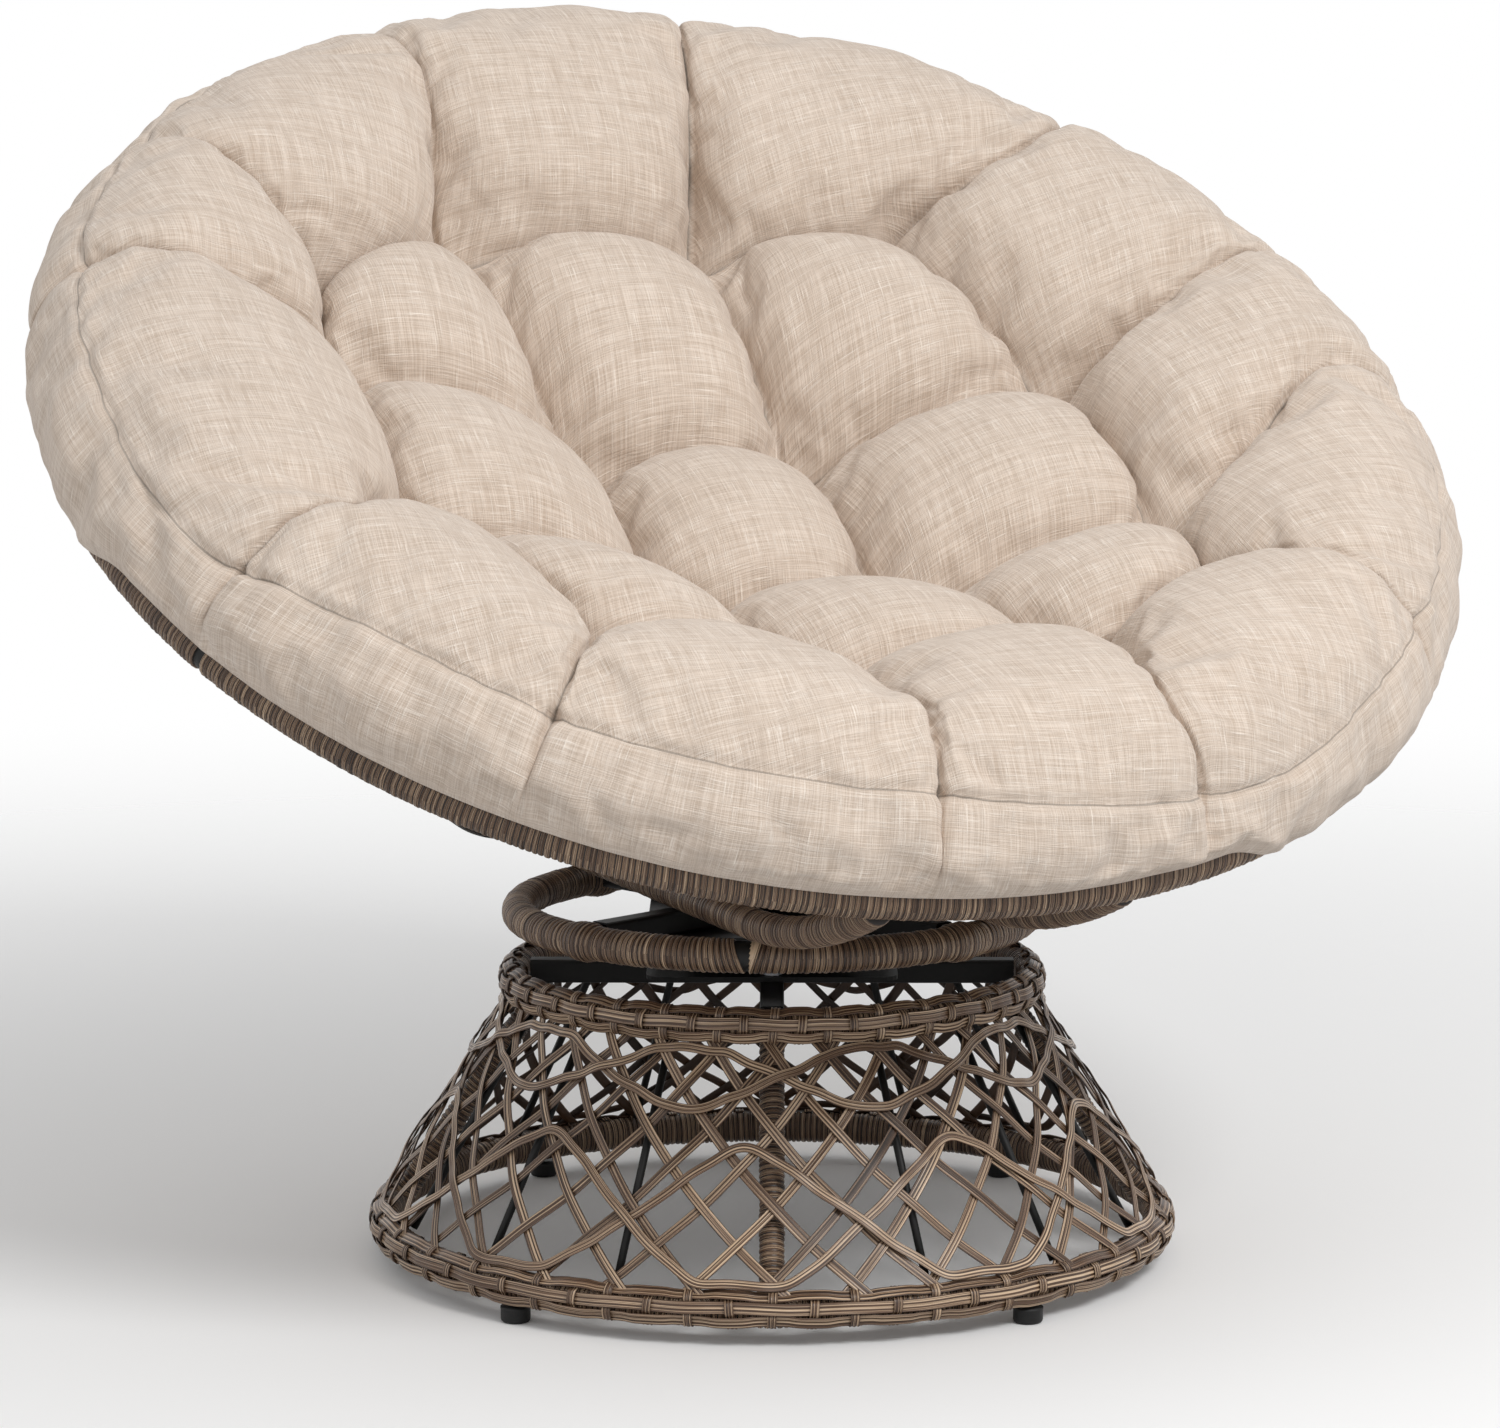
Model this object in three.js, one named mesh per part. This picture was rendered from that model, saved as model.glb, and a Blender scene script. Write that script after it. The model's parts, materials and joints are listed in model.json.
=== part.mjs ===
// A papasan chair: a round tufted cushion in a wicker-wrapped steel bowl,
// on a ring that swivels on a drum-shaped base of woven resin strands.
// Millimetres, +Z up. The origin is the middle of the whole chair's footprint, on the floor,
// and the seat faces -Y.

import * as THREE from 'three';

// Driving dimensions

const clearance = 0.3;                 // between pieces that touch
const seatFaces = THREE.MathUtils.degToRad(24);   // how far the seat is turned on its base
const seatTilt = THREE.MathUtils.degToRad(30);    // the bowl's lean back from level

// Base
const baseHeight = 226;
const footHeight = 12;
const footRadius = 11;
const footToeShare = 0.86;             // a foot's width at the floor
const footAngle = THREE.MathUtils.degToRad(39);   // a foot from the front-to-back line
const bottomRingOuterRadius = 310;
const bottomRingWidth = 24;
const bottomRingHeight = 28;
const topRingOuterRadius = 209;
const topRingWidth = 22;
const topRingHeight = 26;
const legRadius = 9.5;
const rodRadius = 3;
const rodsBetweenLegs = 3;
const legInset = 14;                   // a leg's centre inside the rings' inner faces, at the top
const strandWidth = 7.5;
const strandThickness = 3;
const strandInset = 3.5;               // the lattice inside the top ring's outer face
const strandsEachWay = 32;
const strandRows = 6;                  // rows of diamonds from ring to ring
const bindingHeight = 5;               // the first and last round of the lattice
const waveStrandWidth = 7;
const waveStrandThickness = 2.2;
const waveGap = 0.6;                   // between the lattice and the wavy strands over it
const waveCount = 10;
const lowerWaveTurn = THREE.MathUtils.degToRad(13.8);   // a lower wave's peak past a leg
const upperWaveTurn = THREE.MathUtils.degToRad(1.7);
const barSize = 18;
const barWall = 1.5;
const barCornerRadius = 2.5;

// Swivel
const swivelHeight = 34;               // from the base's bars to the ring's arms
const plateSize = 190;
const plateThickness = 3.5;
const plateCornerRadius = 14;
const plateHoleRadius = 22;
const boltCircleRadius = 84;
const boltRadius = 3;
const boltHeadRadius = 7;
const boltHeadHeight = 4;
const cupOuterRadius = 68;
const cupInnerRadius = 40;
const cupWall = 3;
const ballRadius = 4;

// Seat frame
const ringRadius = 195;
const ringTubeRadius = 13;
const rimRadius = 533;
const rimTubeRadius = 15;
const rimSetback = 48;                 // the rim's centre behind the swivel axis
const bowlDepth = 240;
const runnerSpacing = 190;
const runnerTubeRadius = 12;
const runnerGap = 17.5;                // between the runners and the cushion's underside
const hoopRadius = 235;
const hoopTubeRadius = 7;
const spokeTubeRadius = 6;
const spokeCount = 8;

// Cushion
const rollInset = 66;                  // the edge roll's centre line inside the rim's
const rollThickness = 156;
const rollLift = 33;                   // the edge roll's centre over the rim's plane
const rollPinch = 9;                   // how far a seam draws the roll in
const tuftDepth = 135;                 // the middle of the dish under the rim's plane
const tuftRise = 112;                  // from the middle of the dish to its outer tufts
const outerTuftShare = 0.707;          // where the outer tufts lie, of the edge roll's radius
const archHeight = 36;                 // a seam between two tufts
const swellHeight = 16;                // a puff over its seams

// Facets
const roundSectors = 48;
const ringSectors = 40;
const smallSectors = 24;
const tubeSides = 10;
const thinTubeSides = 6;
const smallSides = 8;

const fullTurn = 2 * Math.PI;
const quarterTurn = Math.PI / 2;

// Heights and radii that follow from the sizes above

const bottomRingTop = footHeight + bottomRingHeight;
const topRingBottom = baseHeight - topRingHeight;
const bottomRingInnerRadius = bottomRingOuterRadius - bottomRingWidth;
const topRingInnerRadius = topRingOuterRadius - topRingWidth;
const bottomRingRadius = bottomRingOuterRadius - bottomRingWidth / 2;
const topRingRadius = topRingOuterRadius - topRingWidth / 2;

const armBottom = baseHeight + swivelHeight;
const ringHeight = armBottom + barSize - ringTubeRadius;   // the arms' tops are level with the ring's
const runnerHeight = ringHeight + ringTubeRadius + clearance + runnerTubeRadius;
const bowlRadius = (rimRadius ** 2 + bowlDepth ** 2) / (2 * bowlDepth);
const bowlCentreHeight = bowlRadius - bowlDepth;   // over the rim's plane
const cushionStandOff = hoopTubeRadius + 2 * clearance;
const undersideRadius = bowlRadius - cushionStandOff;
const undersideOverRunner = Math.sqrt(undersideRadius ** 2 - (runnerSpacing / 2) ** 2);
const rimHeight = runnerHeight + runnerTubeRadius + runnerGap + undersideOverRunner
  - bowlCentreHeight * Math.cos(seatTilt);
const rollRadius = rimRadius - rollInset;
const rollRoundness = rollThickness / 2;

const rearReach = Math.max(
  rimSetback + rimRadius * Math.cos(seatTilt) + rimTubeRadius,
  rimSetback - rollLift * Math.sin(seatTilt) + rollRadius * Math.cos(seatTilt) + rollRoundness,
);
const frontReach = Math.max(
  -rimSetback + rimRadius * Math.cos(seatTilt) + rimTubeRadius,
  -rimSetback + rollLift * Math.sin(seatTilt) + rollRadius * Math.cos(seatTilt) + rollRoundness,
);
const swivelSetforward = (rearReach - frontReach) / 2;

// Materials

function paint(color, roughness, metalness) {
  return () => new THREE.MeshStandardMaterial({ color, roughness, metalness });
}

const wicker = paint(0x86705f, 0.55, 0);
const blackSteel = paint(0x17171a, 0.45, 0.6);
const zincSteel = paint(0x9a9ca0, 0.35, 0.9);
const blackPlastic = paint(0x1a1a1a, 0.6, 0);
const linen = paint(0xd8c8b4, 0.9, 0);

const chair = new THREE.Group();
const base = new THREE.Group();
const seat = new THREE.Group();
const bowl = new THREE.Group();
base.position.set(0, -swivelSetforward, 0);
base.rotation.z = -seatFaces;
seat.position.set(0, -swivelSetforward, 0);
bowl.position.set(0, rimSetback, rimHeight);
bowl.rotation.x = seatTilt;
seat.add(bowl);
chair.add(base, seat);

function addPiece(parent, name, geometry, material) {
  const piece = new THREE.Mesh(geometry, material());
  piece.name = name;
  parent.add(piece);
  return piece;
}

// Shape helpers

function closedSkin(points, triangles) {
  let volume = 0;
  for (const [a, b, c] of triangles) {
    volume += points[a].dot(new THREE.Vector3().crossVectors(points[b], points[c]));
  }
  const outward = volume < 0 ? triangles.map(([a, b, c]) => [a, c, b]) : triangles;
  const geometry = new THREE.BufferGeometry().setFromPoints(points);
  geometry.setIndex(outward.flat());
  geometry.computeVertexNormals();
  return geometry;
}

// A ring of flat sections: each section is a list of points, and the last joins the first.
function closedLoop(sections) {
  const sides = sections[0].length;
  const points = sections.flat();
  const triangles = [];
  sections.forEach((section, i) => {
    const here = i * sides;
    const next = ((i + 1) % sections.length) * sides;
    for (let j = 0; j < sides; j += 1) {
      const k = (j + 1) % sides;
      triangles.push([here + j, next + j, next + k], [here + j, next + k, here + k]);
    }
  });
  return closedSkin(points, triangles);
}

// Rings of points stacked from one pole to the other.
function stackedRings(firstPole, rings, lastPole) {
  const sides = rings[0].length;
  const points = [firstPole, ...rings.flat(), lastPole];
  const last = points.length - 1;
  const triangles = [];
  for (let j = 0; j < sides; j += 1) {
    const k = (j + 1) % sides;
    triangles.push([0, 1 + j, 1 + k]);
    for (let i = 0; i + 1 < rings.length; i += 1) {
      const here = 1 + i * sides;
      const next = here + sides;
      triangles.push([here + j, next + j, next + k], [here + j, next + k, here + k]);
    }
    const end = 1 + (rings.length - 1) * sides;
    triangles.push([last, end + k, end + j]);
  }
  return closedSkin(points, triangles);
}

function onCircle(radius, angle, height) {
  return new THREE.Vector3(radius * Math.cos(angle), radius * Math.sin(angle), height);
}

// A profile of [radius, height] pairs turned about +Z.
function turned(profile, sectors) {
  const sections = [];
  for (let i = 0; i < sectors; i += 1) {
    sections.push(profile.map(([radius, height]) => onCircle(radius, (fullTurn * i) / sectors, height)));
  }
  return closedLoop(sections);
}

function turnedSolid(profile, sectors) {
  const rings = profile.map(([radius, height]) => Array.from(
    { length: sectors },
    (unused, i) => onCircle(radius, (fullTurn * i) / sectors, height),
  ));
  const first = new THREE.Vector3(0, 0, profile[0][1]);
  const last = new THREE.Vector3(0, 0, profile[profile.length - 1][1]);
  return stackedRings(first, rings, last);
}

function circleProfile(centreRadius, centreHeight, radius, sides) {
  return Array.from({ length: sides }, (unused, i) => {
    const angle = (fullTurn * i) / sides;
    return [centreRadius + radius * Math.cos(angle), centreHeight + radius * Math.sin(angle)];
  });
}

function roundSection(radius, sides) {
  const corners = Array.from({ length: sides }, (unused, i) => new THREE.Vector2(
    radius * Math.cos((fullTurn * i) / sides),
    radius * Math.sin((fullTurn * i) / sides),
  ));
  return new THREE.Shape(corners);
}

function tubeAlong(path, radius, sides, steps) {
  return new THREE.ExtrudeGeometry(roundSection(radius, sides), {
    steps,
    bevelEnabled: false,
    extrudePath: path,
  });
}

function roundedRectangle(width, height, corner, cornerSteps) {
  const outline = new THREE.Path();
  const x = width / 2 - corner;
  const y = height / 2 - corner;
  const centres = [[x, y], [-x, y], [-x, -y], [x, -y]];
  const points = [];
  centres.forEach(([cx, cy], side) => {
    for (let i = 0; i <= cornerSteps; i += 1) {
      const angle = quarterTurn * (side + i / cornerSteps);
      points.push(new THREE.Vector2(cx + corner * Math.cos(angle), cy + corner * Math.sin(angle)));
    }
  });
  outline.setFromPoints(points);
  return outline.getPoints();
}

function hole(x, y, radius, sides) {
  const rim = new THREE.Path();
  rim.setFromPoints(Array.from({ length: sides }, (unused, i) => new THREE.Vector2(
    x + radius * Math.cos((fullTurn * i) / sides),
    y - radius * Math.sin((fullTurn * i) / sides),
  )));
  return rim;
}

// A square tube lying along +X from its start, open at both ends.
function squareTube(start, end) {
  const cornerSteps = 2;
  const section = new THREE.Shape(roundedRectangle(barSize, barSize, barCornerRadius, cornerSteps));
  const inside = barSize - 2 * barWall;
  const inner = new THREE.Path();
  inner.setFromPoints(roundedRectangle(inside, inside, barCornerRadius - barWall / 2, 1).reverse());
  section.holes.push(inner);
  const geometry = new THREE.ExtrudeGeometry(section, { depth: end - start, bevelEnabled: false });
  geometry.rotateX(quarterTurn);
  geometry.rotateZ(quarterTurn);
  geometry.translate(start, 0, 0);
  return geometry;
}

// Braided rings
// Two rows of braid side by side leave a shallow groove along the outer face.

const braidShares = [
  [-0.5, -0.2], [-0.32, -0.5], [0.2, -0.5], [0.46, -0.34], [0.5, -0.18], [0.43, 0],
  [0.5, 0.18], [0.46, 0.34], [0.2, 0.5], [-0.32, 0.5], [-0.5, 0.2],
];

function braidedRing(centreRadius, bottom, width, height, sectors) {
  const middle = bottom + height / 2;
  return turned(
    braidShares.map(([across, up]) => [centreRadius + across * width, middle + up * height]),
    sectors,
  );
}

function addBaseRings() {
  addPiece(base, 'base_bottom_ring',
    braidedRing(bottomRingRadius, footHeight, bottomRingWidth, bottomRingHeight, roundSectors), wicker);
  addPiece(base, 'base_top_ring',
    braidedRing(topRingRadius, topRingBottom, topRingWidth, topRingHeight, ringSectors), wicker);
}

// Uprights
// A post stands on the bottom ring and leans in to the top, with both ends cut level.

function leaningPost(bottomRadius, bottomHeight, topRadius, topHeight, radius, sides) {
  const lean = (topRadius - bottomRadius) / (topHeight - bottomHeight);
  const stretch = Math.hypot(1, lean);
  const ring = (centre, height) => Array.from({ length: sides }, (unused, i) => {
    const angle = (fullTurn * i) / sides;
    return new THREE.Vector3(centre + radius * stretch * Math.cos(angle), radius * Math.sin(angle), height);
  });
  return stackedRings(
    new THREE.Vector3(bottomRadius, 0, bottomHeight),
    [ring(bottomRadius, bottomHeight), ring(topRadius, topHeight)],
    new THREE.Vector3(topRadius, 0, topHeight),
  );
}

function addUprights() {
  const postFoot = bottomRingTop + clearance;
  const rodInset = strandThickness + 2 * rodRadius;
  const uprights = 4 * (rodsBetweenLegs + 1);
  let rodNumber = 0;
  for (let i = 0; i < uprights; i += 1) {
    const isLeg = i % (rodsBetweenLegs + 1) === 0;
    const geometry = isLeg
      ? leaningPost(bottomRingInnerRadius - clearance, postFoot, topRingInnerRadius - legInset,
        baseHeight - barSize - clearance, legRadius, tubeSides)
      : leaningPost(bottomRingOuterRadius - strandInset - rodInset - legRadius / 2, postFoot,
        topRingOuterRadius - strandInset - rodInset, topRingBottom - clearance, rodRadius, thinTubeSides);
    rodNumber += isLeg ? 0 : 1;
    const name = isLeg
      ? `base_leg_${1 + i / (rodsBetweenLegs + 1)}`
      : `base_rod_${String(rodNumber).padStart(2, '0')}`;
    const post = addPiece(base, name, geometry, isLeg ? wicker : blackSteel);
    post.rotation.z = (fullTurn * i) / uprights;
  }
}

function addFeet() {
  const footTop = footHeight - clearance;
  const chamfer = footHeight / 6;
  const profile = [
    [footRadius * footToeShare, 0],
    [footRadius, chamfer],
    [footRadius, footTop],
  ];
  const angles = [-quarterTurn, quarterTurn].flatMap((side) => [side - footAngle, side + footAngle]);
  angles.forEach((angle, i) => {
    const foot = addPiece(base, `base_foot_${i + 1}`, turnedSolid(profile, roundSectors / 4), blackPlastic);
    foot.position.copy(onCircle(bottomRingRadius, angle, 0));
  });
}

// Woven lattice
// Two families of strands wind the opposite way round a cone from ring to ring.
// Where they cross they share one flat lozenge, so the whole net is a single thin skin.

const latticeTop = topRingBottom - clearance;
const latticeBottom = bottomRingTop + clearance;
const latticeTopRadius = topRingOuterRadius - strandInset;
const latticeBottomRadius = bottomRingOuterRadius - 2 * strandInset;
const coneRun = latticeBottomRadius - latticeTopRadius;
const coneDrop = latticeTop - latticeBottom;
const coneSlant = Math.hypot(coneRun, coneDrop);

// A point on the cone: angle round it, distance down the slant, and how thick a skin it stands out by,
// measured square to the cone but laid off level, so the net's top and bottom edges stay level.
function onCone(angle, slant, out) {
  const radius = coneRadius(slant) + (coneSlant * out) / coneDrop;
  return onCircle(radius, angle, latticeTop - (coneDrop * slant) / coneSlant);
}

function coneRadius(slant) {
  return latticeTopRadius + (coneRun * slant) / coneSlant;
}

// Flat corners and faces of the net, as [angle, slant] pairs.
function latticeNet() {
  const corners = [];
  const faces = [];
  const halfStep = fullTurn / strandsEachWay / 2;
  const rowDrop = (coneSlant - 2 * bindingHeight) / strandRows;
  const corner = (angle, slant) => corners.push([angle, slant]) - 1;
  const rows = [];
  for (let row = 0; row <= strandRows; row += 1) {
    const slant = bindingHeight + row * rowDrop;
    const across = halfStep * coneRadius(slant);
    const strandLength = Math.hypot(across, rowDrop);
    const halfWide = (strandWidth / 2) * (strandLength / rowDrop) / coneRadius(slant);
    const halfTall = (strandWidth / 2) * (strandLength / across);
    const crossings = [];
    for (let i = 0; i < strandsEachWay; i += 1) {
      const angle = halfStep * (2 * i + (row % 2));
      const crossing = {
        left: corner(angle - halfWide, slant),
        right: corner(angle + halfWide, slant),
      };
      if (row > 0) crossing.top = corner(angle, slant - halfTall);
      if (row < strandRows) crossing.bottom = corner(angle, slant + halfTall);
      if (row === 0 || row === strandRows) {
        const edge = row === 0 ? 0 : coneSlant;
        crossing.edgeLeft = corner(angle - halfWide, edge);
        crossing.edgeRight = corner(angle + halfWide, edge);
      }
      crossings.push(crossing);
    }
    rows.push(crossings);
  }
  rows.forEach((crossings, row) => {
    crossings.forEach((here, i) => {
      const next = crossings[(i + 1) % strandsEachWay];
      if (row === 0) {
        faces.push([here.left, here.bottom, here.right]);
        faces.push([here.edgeLeft, here.left, here.right, here.edgeRight]);
        faces.push([here.edgeRight, here.right, next.left, next.edgeLeft]);
      } else if (row === strandRows) {
        faces.push([here.left, here.right, here.top]);
        faces.push([here.left, here.edgeLeft, here.edgeRight, here.right]);
        faces.push([here.right, here.edgeRight, next.edgeLeft, next.left]);
      } else {
        faces.push([here.left, here.bottom, here.right, here.top]);
      }
      if (row < strandRows) {
        const below = rows[row + 1];
        const lowerLeft = below[(i + (row % 2) + strandsEachWay - 1) % strandsEachWay];
        const lowerRight = below[(i + (row % 2)) % strandsEachWay];
        faces.push([here.bottom, here.left, lowerLeft.top, lowerLeft.right]);
        faces.push([here.right, here.bottom, lowerRight.left, lowerRight.top]);
      }
    });
  });
  return { corners, faces };
}

// Gives a flat net on the cone its thickness, with a wall along each open edge.
function thickenOnCone({ corners, faces }, thickness) {
  const points = [
    ...corners.map(([angle, slant]) => onCone(angle, slant, 0)),
    ...corners.map(([angle, slant]) => onCone(angle, slant, -thickness)),
  ];
  const inner = corners.length;
  const triangles = [];
  const edges = new Map();
  for (const face of faces) {
    for (let i = 1; i + 1 < face.length; i += 1) {
      triangles.push([face[0], face[i], face[i + 1]]);
      triangles.push([inner + face[0], inner + face[i + 1], inner + face[i]]);
    }
    face.forEach((from, i) => {
      const to = face[(i + 1) % face.length];
      if (edges.has(`${to}_${from}`)) edges.delete(`${to}_${from}`);
      else edges.set(`${from}_${to}`, [from, to]);
    });
  }
  for (const [from, to] of edges.values()) {
    triangles.push([from, inner + from, inner + to], [from, inner + to, to]);
  }
  return closedSkin(points, triangles);
}

// A flat strand that runs round the cone in waves, over the lattice.
function wavyStrand(slantAt, steps) {
  const sections = [];
  const place = (angle, out) => onCone(angle, slantAt(angle), out);
  const middleOut = waveGap + waveStrandThickness / 2;
  for (let i = 0; i < steps; i += 1) {
    const angle = (fullTurn * i) / steps;
    const nudge = fullTurn / steps / 2;
    const centre = place(angle, middleOut);
    const along = place(angle + nudge, middleOut).sub(place(angle - nudge, middleOut)).normalize();
    const outward = onCircle(coneDrop, angle, coneRun).normalize();
    const across = new THREE.Vector3().crossVectors(outward, along).normalize();
    const corner = (side, face) => centre.clone()
      .addScaledVector(across, (side * waveStrandWidth) / 2)
      .addScaledVector(outward, (face * waveStrandThickness) / 2);
    sections.push([corner(-1, -1), corner(1, -1), corner(1, 1), corner(-1, 1)]);
  }
  return closedLoop(sections);
}

const lowerWavePeakShare = 0.42;       // of the slant, from the top
const upperWaveTroughShare = 0.27;
const waveFlatness = 0.8;              // under 1 broadens the turns at the ring
const waveStepsEach = 8;

function addLattice() {
  addPiece(base, 'base_lattice', thickenOnCone(latticeNet(), strandThickness), wicker);
  const swing = (angle) => (0.5 + 0.5 * Math.cos(waveCount * angle)) ** waveFlatness;
  const ringMargin = waveStrandWidth / 2 + clearance;
  const lowerReach = coneSlant * (1 - lowerWavePeakShare) - ringMargin;
  const upperReach = coneSlant * upperWaveTroughShare - ringMargin;
  const steps = waveCount * waveStepsEach;
  const lower = addPiece(base, 'base_lower_wave_strand',
    wavyStrand((angle) => coneSlant - ringMargin - lowerReach * swing(angle), steps), wicker);
  lower.rotation.z = lowerWaveTurn;
  const upper = addPiece(base, 'base_upper_wave_strand',
    wavyStrand((angle) => ringMargin + upperReach * swing(angle), steps), wicker);
  upper.rotation.z = upperWaveTurn;
}

// Bars across the top of the base

function addBars() {
  const reach = topRingInnerRadius * Math.cos(Math.PI / ringSectors) - clearance;
  const middle = baseHeight - barSize / 2;
  const across = addPiece(base, 'base_cross_bar', squareTube(-reach, reach), blackSteel);
  across.position.z = middle;
  [['base_front_bar', -quarterTurn], ['base_rear_bar', quarterTurn]].forEach(([name, angle]) => {
    const bar = addPiece(base, name, squareTube(barSize / 2 + clearance, reach), blackSteel);
    bar.position.z = middle;
    bar.rotation.z = angle;
  });
}

// Swivel: two pressed plates, each with a cup, and a ring of balls in its cage between them

function swivelPlate(holeTurn) {
  const cornerSteps = 4;
  const plate = new THREE.Shape(roundedRectangle(plateSize, plateSize, plateCornerRadius, cornerSteps));
  plate.holes.push(hole(0, 0, plateHoleRadius, smallSectors));
  for (let i = 0; i < 4; i += 1) {
    const place = onCircle(boltCircleRadius, holeTurn + quarterTurn * i, 0);
    plate.holes.push(hole(place.x, place.y, boltRadius + clearance, smallSides));
  }
  return new THREE.ExtrudeGeometry(plate, { depth: plateThickness, bevelEnabled: false });
}

// A cup's profile: a flat flange on its plate, a sloping wall and a raceway that half holds the balls.
function swivelCup(height) {
  const race = (cupOuterRadius + cupInnerRadius) / 2;
  const crown = height - cupWall;
  return turned([
    [cupOuterRadius, 0],
    [cupOuterRadius, cupWall],
    [race + ballRadius + cupWall, height],
    [race + ballRadius + clearance, height],
    [race + ballRadius / 2, crown],
    [race - ballRadius / 2, crown],
    [race - ballRadius - clearance, height],
    [race - ballRadius - cupWall, height],
    [cupInnerRadius, cupWall],
    [cupInnerRadius, 0],
  ], smallSectors);
}

function addBolts(parent, name, turn, underside, direction) {
  const shank = plateThickness;
  const profile = [
    [boltRadius, -shank],
    [boltRadius, clearance],
    [boltHeadRadius, clearance],
    [boltHeadRadius, boltHeadHeight / 2],
    [boltHeadRadius / 2, boltHeadHeight],
  ];
  for (let i = 0; i < 4; i += 1) {
    const bolt = addPiece(parent, `${name}_${i + 1}`, turnedSolid(profile, smallSides), zincSteel);
    bolt.position.copy(onCircle(boltCircleRadius, turn + quarterTurn * i, underside));
    bolt.rotation.x = direction > 0 ? 0 : Math.PI;
  }
}

function addSwivel() {
  const lowerPlateBottom = baseHeight + clearance;
  const lowerPlateTop = lowerPlateBottom + plateThickness;
  const upperPlateTop = armBottom - clearance;
  const upperPlateBottom = upperPlateTop - plateThickness;
  const cupRoom = upperPlateBottom - lowerPlateTop - 3 * clearance;
  const cupHeight = cupRoom / 2;
  const raceGap = lowerPlateTop + clearance + cupHeight + clearance / 2;

  const lowerPlate = addPiece(base, 'swivel_lower_plate', swivelPlate(0), blackSteel);
  lowerPlate.position.z = lowerPlateBottom;
  const lowerCup = addPiece(base, 'swivel_lower_cup', swivelCup(cupHeight), blackSteel);
  lowerCup.position.z = lowerPlateTop + clearance;
  const race = (cupOuterRadius + cupInnerRadius) / 2;
  const cage = addPiece(base, 'swivel_ball_ring',
    turned(circleProfile(race, 0, cupWall - clearance, thinTubeSides), smallSectors), zincSteel);
  cage.position.z = raceGap;
  addBolts(base, 'swivel_lower_bolt', 0, lowerPlateTop, 1);

  const upperPlate = addPiece(seat, 'swivel_upper_plate', swivelPlate(quarterTurn / 2), blackSteel);
  upperPlate.position.z = upperPlateBottom;
  upperPlate.rotation.z = -seatFaces;
  const upperCup = addPiece(seat, 'swivel_upper_cup', swivelCup(cupHeight), blackSteel);
  upperCup.position.z = upperPlateBottom - clearance;
  upperCup.rotation.x = Math.PI;
  addBolts(seat, 'swivel_upper_bolt', armTurn, upperPlateBottom, -1);
}

// Seat ring and its arms

const armTurn = quarterTurn / 2 - seatFaces;

function addSeatRing() {
  addPiece(seat, 'seat_ring',
    turned(circleProfile(ringRadius, ringHeight, ringTubeRadius, tubeSides), ringSectors), wicker);
  const reach = (ringRadius - ringTubeRadius) * Math.cos(Math.PI / ringSectors) - clearance;
  const middle = armBottom + barSize / 2;
  const long = addPiece(seat, 'seat_ring_long_arm', squareTube(-reach, reach), blackSteel);
  long.position.z = middle;
  long.rotation.z = armTurn;
  ['left', 'right'].forEach((side, i) => {
    const tube = squareTube(barSize / 2 + clearance, reach);
    const arm = addPiece(seat, `seat_ring_${side}_arm`, tube, blackSteel);
    arm.position.z = middle;
    arm.rotation.z = armTurn + quarterTurn * (1 + 2 * i);
  });
}

// Bowl frame

function addRim() {
  addPiece(bowl, 'bowl_rim',
    turned(circleProfile(rimRadius, 0, rimTubeRadius, tubeSides), roundSectors), wicker);
}

function addHoopAndSpokes() {
  const hoopDrop = Math.sqrt(bowlRadius ** 2 - hoopRadius ** 2) - bowlCentreHeight;
  addPiece(bowl, 'bowl_hoop',
    turned(circleProfile(hoopRadius, -hoopDrop, hoopTubeRadius, thinTubeSides), ringSectors), blackSteel);
  const from = Math.asin(hoopRadius / bowlRadius) + (hoopTubeRadius + clearance) / bowlRadius;
  const to = Math.asin(rimRadius / bowlRadius) - (rimTubeRadius + clearance) / bowlRadius;
  const spokeSteps = 8;
  for (let i = 0; i < spokeCount; i += 1) {
    const points = Array.from({ length: spokeSteps + 1 }, (unused, j) => {
      const along = from + ((to - from) * j) / spokeSteps;
      return new THREE.Vector3(
        bowlRadius * Math.sin(along), 0, bowlCentreHeight - bowlRadius * Math.cos(along));
    });
    const spoke = addPiece(bowl, `bowl_spoke_${i + 1}`,
      tubeAlong(new THREE.CatmullRomCurve3(points), spokeTubeRadius, thinTubeSides, spokeSteps), blackSteel);
    spoke.rotation.z = (fullTurn * i) / spokeCount;
  }
}

const rearBendShare = 0.42;            // how far the runner keeps to the bowl's wall, of its rise
const rearPullShare = 0.55;            // how far it stays level behind the ring, of its run

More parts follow.
